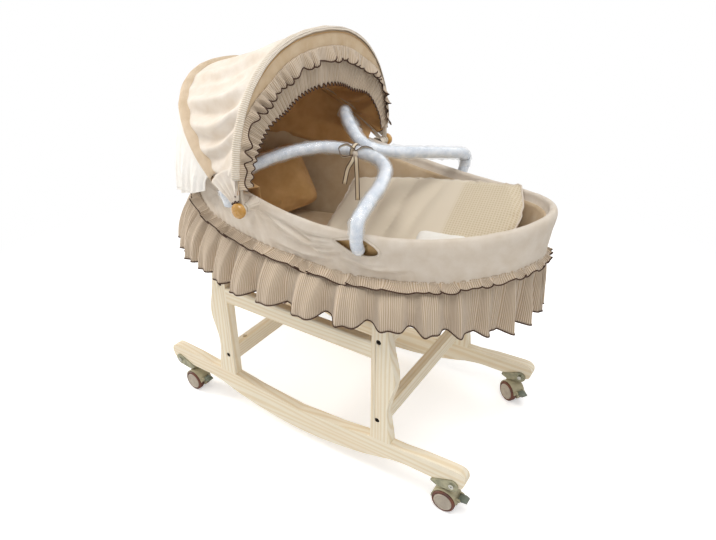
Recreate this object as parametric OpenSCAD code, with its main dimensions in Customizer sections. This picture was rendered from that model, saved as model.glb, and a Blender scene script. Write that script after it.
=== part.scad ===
// Wicker bassinet with a folding hood and two carrying handles, dressed in gathered
// cloth, standing on a pine rocking stand whose casters flip out of the way.
// Millimetres. +X points to the foot end, +Z up. The origin is on the floor under the
// middle of the basket.

/* [Basket] */
// Length of the rim from its widest section to the foot end
rim_foot_l = 450; // [420:1:480]
// Length of the rim from its widest section to the head end
rim_head_l = 352; // [330:1:380]
// Half of the width over the dressed rim
rim_half_w = 220; // [205:1:235]
// Height of the rim at its widest section
rim_h = 555; // [535:1:575]
// Fall of the rim line towards the foot, per length of the foot half
rim_fall = 90; // [70:1:105]
// Rise of the rim line at the foot end
rim_foot_rise = 100; // [80:1:115]
// Extra rise of the rim line at the head end
rim_head_rise = 10; // [0:1:25]
// How far the base is drawn in from the rim
base_inset = 60; // [50:1:70]
// Thickness of the woven wall
wicker_t = 9; // [6:0.5:12]
// Thickness of the board on the basket's floor
board_floor_t = 4; // [3:0.5:6]
// Height of the mattress at its crown
mattress_h = 38; // [30:1:50]
// Thickness of the quilted lining
liner_t = 4; // [3:0.5:6]
// Thickness of the cloth cover at the rim
cover_t = 4; // [3:0.5:5]
// Depth of the cover below the rim
cover_drop = 86; // [75:1:95]

/* [Skirt] */
// Height of the skirt's hem above the floor
hem_h = 379; // [365:1:395]
// How far the hem lifts at the foot end
hem_foot_lift = 16; // [0:1:30]
// Number of gathered folds around the skirt
fold_count = 28; // [20:1:30]
// Depth of a fold at the hem
fold_depth = 16; // [8:1:20]
// Thickness of the skirt cloth with its lining
skirt_t = 2.5; // [2:0.1:3.5]
// Height of the gathered heading over the skirt's seam
heading_h = 22; // [14:1:28]

/* [Hood] */
// Distance of the hood pivot from the rim's widest section, towards the head
hood_pivot_back = 31; // [20:1:45]
// Height of the hood pivot
hood_pivot_h = 552; // [545:1:560]
// Half width of the front bow over its cloth
front_bow_w = 262; // [255:1:268]
// Height of the front bow over the pivot
front_bow_h = 273; // [255:1:290]
// Angle of the front bow from the foot direction
front_bow_angle = 91.3; // [86:0.1:96]
// Half width of the rear bow over its cloth
rear_bow_w = 251; // [246:1:258]
// Reach of the rear bow from the pivot
rear_bow_h = 329; // [318:1:338]
// Angle of the rear bow from the foot direction
rear_bow_angle = 144.9; // [141:0.1:148]
// Diameter of the bow tubes
bow_d = 8; // [6:0.5:9]
// Thickness of the hood cloth
hood_cloth_t = 3; // [2:0.1:4]
// Depth of the brim at the top of the hood
brim_w = 38; // [25:1:45]
// Depth of the ruffle at the top of the hood
ruffle_w = 34; // [24:1:40]
// Depth of the pleated inner frill at the top of the hood
frill_w = 52; // [35:1:60]
// Diameter of the wooden knob on the hood pivot
knob_d = 28; // [22:1:34]

/* [Handles] */
// Distance of the handles' forward feet from the middle of the basket
handle_foot_x = 135; // [125:1:140]
// Distance of the handles' rear feet from the middle of the basket, inside the hood
handle_head_x = 145; // [140:1:155]
// Height of the handle pivots at the foot end
foot_pivot_h = 510; // [505:1:515]
// Height of the handle pivots at the head end
head_pivot_h = 536; // [530:1:540]
// Diameter of the handle tube
handle_d = 22; // [18:1:24]
// Length of the slot in the cover that a handle foot comes out of
slot_l = 95; // [80:1:110]
// Height of that slot
slot_h = 40; // [36:1:42]

/* [Stand] */
// Distance of the stand's middle from the basket's middle, towards the head
stand_back = 20; // [10:1:30]
// Thickness of the pine boards
board_t = 22; // [18:1:25]
// Clear width between the side frames
inner_w = 356; // [350:1:362]
// Half of the clear distance between the legs
leg_half = 180; // [165:1:190]
// Height of the legs' tops
leg_top = 386; // [376:1:392]
// Height of the rocker's underside at the middle
rocker_low = 26; // [20:1:32]
// Radius of the rocking arc
rocker_r = 735; // [700:1:900]
// Distance of the leg bolts from the legs' inner edge
bolt_in = 15; // [13:0.5:18]
// Height of the lower crossbars' middle
low_bar_h = 149; // [135:1:165]
// Height of the upper crossbars' middle, which carry the basket
top_bar_h = 334; // [326:1:340]
// Height of a crossbar
bar_h = 35; // [28:1:40]
// Thickness of a crossbar
bar_t = 20; // [16:1:22]
// Height of the side rails
rail_h = 36; // [30:1:42]
// Diameter of the frame bolts
bolt_d = 6; // [5:0.5:8]

/* [Casters] */
// Distance of a bracket pivot from the stand's middle
pivot_half = 361; // [355:1:370]
// Height of the bracket pivot
pivot_h = 71; // [69:1:73]
// Diameter of the caster wheels
wheel_d = 48; // [44:1:49]
// Width of one wheel
wheel_w = 15; // [12:0.5:16]
// Distance of the wheel axle behind the swivel stem
trail = 14; // [10:1:15]
// Diameter of the pivot screws
pivot_d = 6; // [5:0.5:8]
// Diameter of the swivel stem
stem_d = 8; // [7:0.5:9]
// Thickness of the bracket steel
steel_t = 2; // [1.5:0.1:2.5]

/* [Hidden] */

$fn = 48;
free = 0.3;             // gap between pieces that move past each other
running = 0.05;         // radial clearance of a pivot
layer = 0.6;            // gap between layers of cloth and wicker
tip = 0.01;             // overlap that makes a cut clean

pine = "#ead9b5";
pine_dark = "#d8bf92";
zinc = "#b9b7a4";
cream = "#e8dccb";
stripe = "#d9c6ae";

// Derived places of the basket
middle_x = (rim_foot_l - rim_head_l) / 2;
wide_x = -middle_x;
bar_top = top_bar_h + bar_h / 2;
basket_floor = bar_top + free;
around = 64;            // points around the basket

// Derived places of the stand
stand_x = -stand_back;
frame_y = (inner_w + board_t) / 2;
outer_y = inner_w / 2 + board_t;
flat_h = pivot_h - 4;   // underside of the rocker's flat end, on the brackets
lobe_r = 10.5;          // rounded end of the rocker about the pivot
stem_in = 27;           // swivel stem, measured inwards from the bracket pivot
ear_in = board_t / 2 + free;
axle_h = wheel_d / 2;

// Ranges of the hood
hood_x = wide_x - hood_pivot_back;
rear_eye_y = 237.5;       // inner face of the rear bow's eye
eye_t = 5;              // thickness of the flat bow ends
front_eye_y = rear_eye_y + 8;
knob_y = front_eye_y + eye_t + free;

function spow(v, p) = sign(v) * pow(abs(v), p);
function mix(a, b, t) = a + (b - a) * t;
function clamp(v) = min(1, max(0, v));
function ease(v) = let (t = clamp(v)) t * t * (3 - 2 * t);
function unit(v) = v / norm(v);

// Smooth curve through hand-placed points, steps between each two
function smooth_path(p, steps) =
  let (n = len(p))
  concat([for (i = [0:n - 2]) let (
      a = i > 0 ? p[i - 1] : 2 * p[0] - p[1],
      b = p[i],
      c = p[i + 1],
      d = i < n - 2 ? p[i + 2] : 2 * p[n - 1] - p[n - 2])
    for (k = [0:steps - 1]) let (t = k / steps)
      0.5 * (2 * b + (c - a) * t + (2 * a - 5 * b + 4 * c - d) * t * t
             + (3 * b - a - 3 * c + d) * t * t * t)], [p[n - 1]]);

// Plan of the rim: an ellipse each side of the widest section, off moves it outwards
function plan(a, off) = [
  wide_x + ((cos(a) >= 0 ? rim_foot_l : rim_head_l) + off) * cos(a),
  (rim_half_w + off) * sin(a)];
function rim_z(x) = let (t = (x - wide_x) / rim_foot_l)
  rim_h - rim_fall * t + (t > 0 ? rim_foot_rise : rim_head_rise) * t * t;
function rim_at(a) = rim_z(plan(a, 0)[0]);
function rim_point(a, off, drop) = let (q = plan(a, off)) [q[0], q[1], rim_at(a) - drop];
// How far the wall is drawn in at height z, going evenly from the rim to the floor
function wall_in(a, z) = -base_inset
  * clamp(1 - (z - basket_floor) / (rim_at(a) - rim_in - basket_floor));
// A point of the wall, v from 0 at floor_z to 1 at the given drop below the rim
function wall_point(a, v, off, floor_z, drop) =
  let (z = mix(floor_z, rim_at(a) - drop, v), q = plan(a, off + wall_in(a, z)))
  [q[0], q[1], z];
// 1 beside and behind the basket, 0 round its foot end
function beside(a) = 1 - ease((cos(a) - 0.56) / 0.36);
function hem_z(a) = hem_h - 20 * (1 - beside(a)) + hem_foot_lift * pow(max(0, cos(a)), 40);
// Depth of the seam between cover and skirt, which runs lower at the head end
function seam_drop(a) = cover_drop + 0.12 * max(0, -plan(a, 0)[0]);

// Triangles of a grid of rows, each closed on itself if wrap is true
function grid_faces(rows, cols, start, wrap, flip) =
  [for (i = [0:rows - 2]) for (j = [0:(wrap ? cols : cols - 1) - 1]) let (
      k = (j + 1) % cols,
      a = start + i * cols + j,
      b = start + (i + 1) * cols + j,
      c = start + (i + 1) * cols + k,
      d = start + i * cols + k)
    for (f = flip ? [[a, c, b], [a, d, c]] : [[a, b, c], [a, c, d]]) f];

// Closed solid over stacked rings, capped at both ends
module stacked(rings) {
  rows = len(rings);
  cols = len(rings[0]);
  polyhedron(
    [for (r = rings) for (p = r) p],
    concat(
      grid_faces(rows, cols, 0, true, false),
      [for (j = [1:cols - 2]) [0, j, j + 1]],
      [for (j = [1:cols - 2]) (rows - 1) * cols * [1, 1, 1] + [0, j + 1, j]]),
    convexity = 6);
}

// Closed solid between an outer and an inner grid of points
module between(outer, inner, wrap = false) {
  rows = len(outer);
  cols = len(outer[0]);
  half = rows * cols;
  last = (wrap ? cols : cols - 1) - 1;
  top = (rows - 1) * cols;
  polyhedron(
    [for (g = [outer, inner]) for (r = g) for (p = r) p],
    concat(
      grid_faces(rows, cols, 0, wrap, false),
      grid_faces(rows, cols, half, wrap, true),
      [for (j = [0:last]) let (k = (j + 1) % cols)
        for (f = [[j, k, half + k], [j, half + k, half + j]]) f],
      [for (j = [0:last]) let (k = (j + 1) % cols)
        for (f = [[top + j, half + top + k, top + k],
                  [top + j, half + top + j, half + top + k]]) f],
      wrap ? [] : [for (i = [0:rows - 2]) let (a = i * cols, b = (i + 1) * cols)
        for (f = [[a, half + a, half + b], [a, half + b, b]]) f],
      wrap ? [] : [for (i = [0:rows - 2]) let (a = (i + 1) * cols - 1, b = a + cols)
        for (f = [[a, b, half + b], [a, half + b, half + a]]) f]),
    convexity = 10);
}

// Round tube along a path; flat_dir is roughly square to the path's plane
module tube(path, r, sides, flat_dir) {
  n = len(path);
  stacked([for (i = [0:n - 1]) let (
      along = unit(path[min(i + 1, n - 1)] - path[max(i - 1, 0)]),
      u = unit(cross(along, cross(flat_dir, along))),
      v = cross(along, u))
    [for (k = [0:sides - 1]) let (t = 360 * k / sides)
      path[i] + r * (cos(t) * u + sin(t) * v)]]);
}

// Cylinder along Y from y0 to y1
module y_rod(d, y0, y1, fn = 48) {
  translate([0, y0, 0]) rotate([-90, 0, 0]) cylinder(d = d, h = y1 - y0, $fn = fn);
}

module x_rod(d, x0, x1, fn = 48) {
  translate([x0, 0, 0]) rotate([0, 90, 0]) cylinder(d = d, h = x1 - x0, $fn = fn);
}

// Plate lying in the XZ plane from y0 to y1
module y_plate(y0, y1) {
  translate([0, y1, 0]) rotate([90, 0, 0]) linear_extrude(y1 - y0) children();
}

// Rocker of the stand, seen from the side
rocker_top = [[0, 56], [104, 63], [155, 70], [184, 74], [252, 74], [298, 79]];
rocker_end_rise = 37;   // top of the rocker's end over the bracket pivot
arc_end = 210;          // half length of the rocking arc
function arc_z(x) = rocker_low + rocker_r - sqrt(rocker_r * rocker_r - x * x);

function rocker_half() = concat(
  [for (i = [0:14]) let (x = arc_end * i / 14) [x, arc_z(x)]],
  [for (q = smooth_path([
      [arc_end + 12, arc_z(arc_end) + 4],
      [arc_end + 48, flat_h - 0.6],
      [arc_end + 75, flat_h],
      [pivot_half - 40, flat_h]], 3)) q],
  [for (i = [0:10]) let (a = mix(180 + asin((pivot_h - flat_h) / lobe_r), 335, i / 10))
    [pivot_half + lobe_r * cos(a), pivot_h + lobe_r * sin(a)]],
  [for (q = smooth_path([
      [pivot_half + 20, pivot_h + 1],
      [pivot_half + 24, pivot_h + 12],
      [pivot_half + 25, pivot_h + 21],
      [pivot_half + 22, pivot_h + 30],
      [pivot_half + 13, pivot_h + 36],
      [pivot_half, pivot_h + rocker_end_rise]], 3)) q],
  [for (i = [len(rocker_top) - 1:-1:0])
    [rocker_top[i][0], rocker_low + rocker_top[i][1]]]);

module rocker_plan() {
  half = rocker_half();
  polygon(concat(half, [for (i = [len(half) - 2:-1:1]) [-half[i][0], half[i][1]]]));
}

module rocker(y) {
  color(pine) difference() {
    translate([stand_x, 0, 0]) y_plate(y - board_t / 2, y + board_t / 2) rocker_plan();
    for (s = [-1, 1])
      translate([stand_x + s * pivot_half, 0, pivot_h])
        y_rod(pivot_d, y - board_t, y + board_t);
  }
}

// Leg outline: straight inner edge, waved outer edge. Widths against height
leg_wave = [[60, 47], [110, 44], [145, 38.5], [175, 36], [200, 39], [228, 47],
  [252, 51], [280, 48], [310, 41], [345, 35], [370, 34]];

module leg_plan() {
  difference() {
    polygon(concat(
      [[leg_half, 60]],
      [for (q = smooth_path([for (w = leg_wave) [leg_half + w[1], w[0]]], 3)) q],
      [[leg_half + 31, leg_top - 8], [leg_half + 24, leg_top - 1.5],
       [leg_half + 17, leg_top], [leg_half + 10, leg_top - 1.5],
       [leg_half + 2, leg_top - 8], [leg_half, leg_top - 14]]));
    rocker_plan();
    polygon([[0, 0], [0, rocker_low + 40], [2 * leg_half, rocker_low + 40],
             [2 * leg_half, 0]]);
  }
}

head_d = 10;            // head of a frame bolt
head_l = 6;
bolt_l = 62;            // length of a frame bolt under its head
nut_in = 36;            // barrel nut, measured inwards from the leg's inner face

module leg_holes(side) {
  for (z = [low_bar_h, top_bar_h]) translate([leg_half + bolt_in, 0, z]) {
    y_rod(bolt_d + 2 * running, min(0, side * 2 * outer_y), max(0, side * 2 * outer_y));
    y_rod(head_d + 0.6, side > 0 ? outer_y - head_l - 1 : -outer_y - 1,
      side > 0 ? outer_y + 1 : -outer_y + head_l + 1);
  }
}

// Leg at one corner: end is 1 at the foot, -1 at the head; side is 1 on the far side
module leg(end, side) {
  color(pine) translate([stand_x, 0, 0]) mirror([end < 0 ? 1 : 0, 0, 0]) difference() {
    y_plate(side * frame_y - board_t / 2, side * frame_y + board_t / 2) leg_plan();
    leg_holes(side);
  }
}

rail_round = 5;         // rounded upper edges of a rail

module rail(side) {
  color(pine) translate([stand_x - leg_half, side * frame_y, top_bar_h - 41])
    rotate([90, 0, 90]) linear_extrude(2 * leg_half)
      polygon(concat(
        [[-board_t / 2, 0], [board_t / 2, 0]],
        [for (a = [0:15:90])
          [board_t / 2 - rail_round + rail_round * cos(a),
           rail_h - rail_round + rail_round * sin(a)]],
        [for (a = [90:15:180])
          [-board_t / 2 + rail_round + rail_round * cos(a),
           rail_h - rail_round + rail_round * sin(a)]]));
}

nut_d = 10;             // barrel nut
nut_l = 14;

module crossbar(end, z) {
  color(pine_dark) translate([stand_x + end * (leg_half + bolt_in), 0, z]) difference() {
    translate([-bar_t / 2, -inner_w / 2, -bar_h / 2]) cube([bar_t, inner_w, bar_h]);
    for (side = [-1, 1]) {
      y_rod(bolt_d + 2 * running,
        min(side * inner_w / 2 * 1.1, side * (inner_w / 2 - 50)),
        max(side * inner_w / 2 * 1.1, side * (inner_w / 2 - 50)));
      translate([0, side * (inner_w / 2 - nut_in), -nut_l / 2])
        cylinder(d = nut_d + 2 * running, h = bar_h);
    }
  }
}

module at_bolts() {
  for (end = [-1, 1]) for (side = [-1, 1]) for (z = [low_bar_h, top_bar_h])
    translate([stand_x + end * (leg_half + bolt_in), 0, z])
      mirror([0, side > 0 ? 1 : 0, 0]) children();
}

module frame_bolts() {
  color("#5a5650") at_bolts() difference() {
    union() {
      y_rod(head_d, -outer_y + 1, -outer_y + 1 + head_l);
      y_rod(bolt_d, -outer_y + 1 + head_l - tip, -outer_y + 1 + head_l + bolt_l - head_l);
    }
    y_rod(5, -outer_y, -outer_y + 4.5, 6);
  }
}

module barrel_nuts() {
  color("#8f8d86") at_bolts() translate([0, -inner_w / 2 + nut_in, -nut_l / 2])
    difference() {
      cylinder(d = nut_d, h = nut_l);
      translate([0, 0, nut_l / 2]) y_rod(bolt_d + 2 * running, -nut_d, nut_d);
    }
}

// Screws that the caster brackets turn on, with their nuts
screw_head_d = 11;

module bracket_screws() {
  color(zinc) for (end = [-1, 1]) for (side = [-1, 1])
    translate([stand_x + end * pivot_half, side * frame_y, pivot_h])
      mirror([0, side > 0 ? 1 : 0, 0]) {
        y_rod(pivot_d, -ear_in - steel_t - free, ear_in + steel_t + free);
        difference() {
          y_rod(screw_head_d, -ear_in - steel_t - free - 3, -ear_in - steel_t - free);
          y_rod(4.5, -ear_in - steel_t - 5, -ear_in - steel_t - free - 1.2, 6);
        }
        y_rod(10, ear_in + steel_t + free, ear_in + steel_t + free + 4.5, 6);
      }
}

// Caster pieces are drawn about the bracket pivot, with +X pointing outwards
plate_top = flat_h - pivot_h - free;
plate_t = 2.5;
boss_d = 13;
boss_l = 8;
stem_reach = 4;         // length of the stem inside its boss
ear_r = 13;
ear_tail = 40;

module ear_plan() {
  hull() {
    circle(r = ear_r, $fn = 40);
    translate([-ear_tail, plate_top - 3]) circle(r = 4, $fn = 24);
    translate([-ear_tail + 12, plate_top - 8]) circle(r = 4, $fn = 24);
  }
}

module bracket_shape() {
  color(zinc) difference() {
    union() {
      for (s = [-1, 1])
        y_plate(s > 0 ? ear_in : -ear_in - steel_t, s > 0 ? ear_in + steel_t : -ear_in)
          ear_plan();
      translate([-ear_tail - 2, -ear_in - tip, plate_top - plate_t])
        cube([ear_tail + 2 - lobe_r - 1.5, 2 * (ear_in + tip), plate_t]);
      translate([-stem_in, 0, plate_top - plate_t - boss_l])
        cylinder(d = boss_d, h = boss_l + tip);
    }
    y_rod(pivot_d + 2 * running, -ear_in - 2 * steel_t, ear_in + 2 * steel_t);
    translate([-stem_in, 0, plate_top - plate_t - boss_l - 1])
      cylinder(d = stem_d + 2 * running, h = stem_reach + free + 1);
  }
}

// Fork, wheels and brake are drawn about the foot of the swivel stem, on the floor's
// level, with +X pointing the way the wheel trails
hood_r = axle_h + 2.8;
hood_half = 15;
web_t = 7;
axle_d = 5;
boss_foot = pivot_h + plate_top - plate_t - boss_l;
collar_z = axle_h + hood_r - 7;

module caster_hood_plan() {
  difference() {
    circle(r = hood_r, $fn = 72);
    circle(r = axle_h + 0.8, $fn = 72);
    polygon([[0, 0], [90, 16], [90, -90], [-90, -90], [-90, -6]]);
  }
}

module fork_shape() {
  color("#c9c2a6") {
    translate([trail, 0, axle_h]) {
      y_plate(-hood_half, hood_half) caster_hood_plan();
      y_plate(-web_t / 2, web_t / 2) difference() {
        circle(r = hood_r - 1, $fn = 72);
        polygon([[0, -8], [90, -14], [90, -90], [-90, -90], [-90, -14]]);
      }
      y_plate(-web_t / 2, web_t / 2) circle(r = 9);
      y_rod(axle_d, -hood_half - 2.5, hood_half + 2.5);
    }
    difference() {
      union() {
        translate([0, 0, collar_z]) cylinder(d = 14, h = boss_foot - free - collar_z);
        translate([0, 0, collar_z]) cylinder(d = stem_d, h = boss_foot + stem_reach - collar_z);
      }
      translate([trail, 0, axle_h]) y_rod(2 * axle_h + 1.6, -20, 20, 72);
    }
    brake_lug();
  }
}

brake_x = hood_r + 2;   // brake pivot, measured from the axle
brake_z = 12;
brake_pin_d = 3;

module brake_lug() {
  for (s = [-1, 1]) translate([trail, 0, axle_h]) difference() {
    y_plate(s > 0 ? 8.2 : -11.2, s > 0 ? 11.2 : -8.2) union() {
      translate([brake_x, brake_z]) circle(r = 3.5, $fn = 24);
      polygon([[hood_r - 1.6, brake_z - 3.2], [brake_x, brake_z - 3.4],
               [brake_x, brake_z + 3.4], [hood_r - 4, brake_z + 3.2]]);
    }
    translate([brake_x, 0, brake_z]) y_rod(brake_pin_d, -20, 20, 32);
  }
}

module brake_shape() {
  color("#7f847d") translate([trail + brake_x, 0, axle_h + brake_z]) {
    y_rod(brake_pin_d - 2 * running, -11.2, 11.2, 32);
    y_plate(-7.9, 7.9) {
      circle(r = 3.2, $fn = 24);
      polygon([[0, 3.2], [9, 4], [15, 1.5], [16, -0.5], [12, -1], [3, -3], [0, -3.2]]);
    }
  }
}

module wheel_shape(side) {
  inner = web_t / 2 + 0.7;
  color("#a39585") translate([trail, 0, axle_h]) mirror([0, side > 0 ? 1 : 0, 0])
    rotate([90, 0, 0]) rotate_extrude($fn = 96)
      difference() {
        polygon([
          [0, inner], [axle_h - 7, inner], [axle_h - 6, inner + 1],
          [axle_h - 1, inner + 1], [axle_h, inner + 3],
          [axle_h, inner + wheel_w - 3.5], [axle_h - 1.5, inner + wheel_w - 1],
          [axle_h - 4, inner + wheel_w], [axle_h - 4.6, inner + wheel_w - 1.2],
          [axle_h - 5.4, inner + wheel_w - 1.2], [axle_h - 6, inner + wheel_w],
          [axle_h - 9, inner + wheel_w + 0.8], [0, inner + wheel_w + 1.2]]);
        square([axle_d / 2 + running, hood_half + 2.5 + free]);
      }
}

// Turn of each caster about its stem in the photographed pose
function caster_turn(end, side) = end > 0 ? (side > 0 ? 32 : 0) : (side > 0 ? 160 : 183);

module at_corner(end, side) {
  translate([stand_x + end * pivot_half, side * frame_y, 0])
    mirror([end < 0 ? 1 : 0, 0, 0]) mirror([0, side > 0 ? 1 : 0, 0]) children();
}

module at_stem(end, side) {
  at_corner(end, side) translate([-stem_in, 0, 0]) rotate([0, 0, caster_turn(end, side)])
    children();
}

module bracket(end, side) {
  at_corner(end, side) translate([0, 0, pivot_h]) bracket_shape();
}

module fork(end, side) {
  at_stem(end, side) fork_shape();
}

module wheel(end, side, face) {
  at_stem(end, side) wheel_shape(face);
}

module brake(end, side) {
  at_stem(end, side) brake_shape();
}

// Woven basket: a deep cup with a rolled rim
rim_in = cover_t + layer;
wicker_levels = [0, 0.5, 1];

module woven_basket() {
  floor_t = 8;
  color("#c8a878") difference() {
    stacked(concat(
      [for (v = wicker_levels) [for (j = [0:around - 1])
        wall_point(360 * j / around, v, -rim_in, basket_floor, rim_in + 3)]],
      [[for (j = [0:around - 1]) rim_point(360 * j / around, -rim_in - wicker_t / 2, rim_in)]],
      [for (i = [len(wicker_levels) - 1:-1:0]) [for (j = [0:around - 1])
        wall_point(360 * j / around, wicker_levels[i], -rim_in - wicker_t,
          basket_floor + floor_t, rim_in + 3)]]));
    for (s = [0, 1]) mirror([0, s, 0]) translate([hood_x, 0, hood_pivot_h])
      y_rod(pivot_d + 2 * running, rim_half_w - 40, rim_half_w + 10);
  }
}

floor_top = basket_floor + 8;
inner_off = -rim_in - wicker_t - 2.4 * layer;

module base_board() {
  color("#b99a6b") translate([0, 0, floor_top]) linear_extrude(board_floor_t)
    polygon([for (j = [0:around - 1])
      plan(360 * j / around, inner_off - base_inset - 2)]);
}

// Lining that hangs inside the woven wall
liner_levels = [0.05, 0.5, 1];

module liner() {
  function face(off) = [for (v = liner_levels) [for (j = [0:around - 1])
    let (a = 360 * j / around)
    wall_point(a, v, off, floor_top, rim_in + 17)]];
  color(cream) between(face(inner_off), face(inner_off - liner_t), true);
}

mattress_z = floor_top + board_floor_t + free;
mattress_off = inner_off - liner_t - base_inset - 1;

module mattress() {
  // height share and how far the side is drawn in at that height
  side = [[0, 10], [0.18, 2], [0.5, 0], [0.78, 4], [0.93, 22], [1, 60]];
  color(cream) stacked([for (s = side) [for (j = [0:around - 1])
    let (a = 360 * j / around, q = plan(a, mattress_off - s[1]))
    [q[0], q[1], mattress_z + mattress_h * s[0]]]]);
}

// Cloth cover: over the rim's roll, down inside, and down the outside along the wall
cover_draw = 12.5;      // how far the seam is drawn in from the rim

module cover_body() {
  // offset and drop of the outer skin and of the inner skin, from the seam to the
  // lining. The last ones follow the wall's slope
  lip = -rim_in - wicker_t - layer;
  outer = [[-cover_draw, cover_drop], [-6.5, 38], [-2.2, 10], [-3.8, 2], [-rim_in - 5, 0],
    [-rim_in - wicker_t - 3, 3], [lip - cover_t, 19]];
  inner = [[-cover_draw - 3, cover_drop], [-9.8, 38], [-5, 15], [-rim_in + 0.2, 6.4],
    [-rim_in - 4.5, rim_in - 0.7], [lip + 0.2, rim_in + 1.2], [lip, 19]];
  function skin(list) = [for (s = list) [for (j = [0:around - 1]) let (
      a = 360 * j / around,
      off = s[0] + (s[1] == 19 ? wall_in(a, rim_at(a) - 19) : 0),
      drop = s[1] == cover_drop ? seam_drop(a) : s[1])
    rim_point(a, off, drop)]];
  between(skin(outer), skin(inner), true);
}

// Pivot line of a handle: its head foot stands further out and higher
foot_y = 202;
head_y = 213;
feet = [-handle_head_x, handle_foot_x];
feet_l = feet[1] - feet[0];
handle_yaw = atan2(head_y - foot_y, feet_l);
handle_tilt = atan2(head_pivot_h - foot_pivot_h, feet_l);
handle_y = mix(foot_y, head_y, feet[1] / feet_l);
handle_z = mix(foot_pivot_h, head_pivot_h, feet[1] / feet_l);

module at_handle(side) {
  translate([0, side * handle_y, handle_z])
    mirror([0, side > 0 ? 1 : 0, 0]) rotate([0, handle_tilt, handle_yaw]) children();
}

module slots() {
  for (side = [-1, 1]) for (x = feet)
    at_handle(side) translate([x + 6, 0, 8]) rotate([0, 0, x > 0 ? 10 : -12])
      translate([0, -60, 0]) rotate([-90, 0, 0]) linear_extrude(73.3)
        union() {
          square([slot_l - slot_h, slot_h], center = true);
          for (s = [-1, 1]) translate([s * (slot_l - slot_h) / 2, 0])
            circle(d = slot_h);
        }
}

module cover() {
  color(cream) difference() {
    cover_body();
    slots();
    for (s = [0, 1]) mirror([0, s, 0]) translate([hood_x, 0, hood_pivot_h])
      y_rod(sleeve_d + 2, rim_half_w - rim_in - 4, rear_eye_y);
  }
}

// Gathered skirt: each fold swells outwards and grows towards the hem
skirt_cols = 112;
// share of the height, how far the valleys stand out at the foot end and beside the
// legs, share of the folds' depth
skirt_rows = [[0, -16.8, -16.8, 0.25], [0.6, -15.5, 16, 0.75], [1, -15, 19.3, 1]];

function fold(a) = 0.5 + 0.5 * cos(fold_count * a + 20 * sin(3 * a));

module skirt() {
  function face(off) = [for (i = [2:-1:0]) [for (j = [0:skirt_cols - 1])
    let (a = 360 * j / skirt_cols,
         s = skirt_rows[i],
         top = rim_at(a) - seam_drop(a) - 1.5,
         q = plan(a, mix(s[1], s[2], beside(a)) + off + fold_depth * fold(a) * s[3]))
    [q[0], q[1], mix(top, hem_z(a) - 3 * fold(a), s[0])]]];
  color(stripe) between(face(skirt_t), face(0), true);
}

// Narrow frill that hangs over the skirt's seam
heading_cols = 160;

module skirt_heading() {
  function wave(a) = 0.5 + 0.5 * sin(40 * a);
  function face(off) = [for (v = [1, 0]) [for (j = [0:heading_cols - 1])
    let (a = 360 * j / heading_cols,
         low = mix(-3.5, 9, beside(a)) + 6 * wave(a),
         q = plan(a, mix(0.9 - cover_draw, low, v) + off))
    [q[0], q[1], rim_at(a) - seam_drop(a) + 5 - v * heading_h]]];
  color(stripe) between(face(1.8), face(0), true);
}

// Closed cushion with a seam around its middle; pull draws the sides in
module cushion(l, w, h, pull, levels = 4) {
  cols = 32;
  half = [for (k = [-levels:levels]) k / levels];
  stacked([for (t = half) let (s = pow(max(0, 1 - pow(abs(t), 2.6)), 0.42) * 0.86 + 0.14)
    [for (j = [0:cols - 1]) let (
        a = 360 * j / cols,
        draw = 1 - pull * pow(abs(cos(2 * a)), 2))
      [l / 2 * s * draw * spow(cos(a), 0.45), w / 2 * s * draw * spow(sin(a), 0.45),
       h / 2 * sin(90 * t)]]]);
}

// Quilt that lies across the foot half, from the mattress up onto the far rim.
// Corner and middle points of its middle surface, from the near edge to the far edge
quilt_t = 26;
quilt_net = [
  [[-60, -112, 414], [100, -128, 414], [244, -92, 431]],
  [[-80, 20, 438], [110, 10, 465], [330, 10, 501]],
  [[-100, 142, 490], [110, 150, 527], [298, 124, 561]]];

// Curve through three points at t = 0, 0.5 and 1
function bend(a, b, c, t) =
  a * (1 - t) * (1 - 2 * t) + b * 4 * t * (1 - t) + c * t * (2 * t - 1);
function quilt_point(u, v) = bend(
  bend(quilt_net[0][0], quilt_net[0][1], quilt_net[0][2], u),
  bend(quilt_net[1][0], quilt_net[1][1], quilt_net[1][2], u),
  bend(quilt_net[2][0], quilt_net[2][1], quilt_net[2][2], u), v);
function quilt_up(u, v) = let (d = 0.01)
  unit(cross(quilt_point(u + d, v) - quilt_point(u - d, v),
             quilt_point(u, v + d) - quilt_point(u, v - d)));

module quilt() {
  cols = 20;
  rows = 14;
  function puff(u, v) = quilt_t * 0.5
    * (0.12 + 0.88 * pow(max(0, sin(180 * u)), 0.35) * pow(max(0, sin(180 * v)), 0.35))
    * (0.93 + 0.07 * cos(5 * 360 * u));
  function face(s) = [for (i = [0:rows]) [for (j = [0:cols])
    let (u = j / cols, v = i / rows)
    quilt_point(u, v) + s * puff(u, v) * quilt_up(u, v)]];
  color("#e6d9c4") between(face(-1), face(1));
}

module pillow() {
  color("#efe6d8") translate([-242, 32, mattress_z + mattress_h + 80])
    rotate([56, 0, 58]) rotate([0, 0, 10]) cushion(190, 170, 48, 0.07);
}

module side_pillow() {
  color("#f3ece2") translate([222, -66, 481]) rotate([24, -4, 4])
    cushion(116, 66, 38, 0.07);
}

// Bows of the hood. psi runs from the near pivot over the top to the far pivot
front_power = 2.38;
rear_power = 2.12;
function bow_y(psi, w, m) = -w * spow(cos(psi), 2 / m);
function bow_r(psi, h, m) = h * pow(abs(sin(psi)), 2 / m);
function hood_point(y, r, angle) = [hood_x + r * cos(angle), y, hood_pivot_h + r * sin(angle)];
function bow_point(psi, w, h, m, angle, inset) =
  hood_point(bow_y(psi, w - inset, m), bow_r(psi, h - inset, m), angle);

tube_inset = hood_cloth_t + bow_d / 2 + 1.6;
bar_l = 52;             // flat end of a bow

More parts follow.
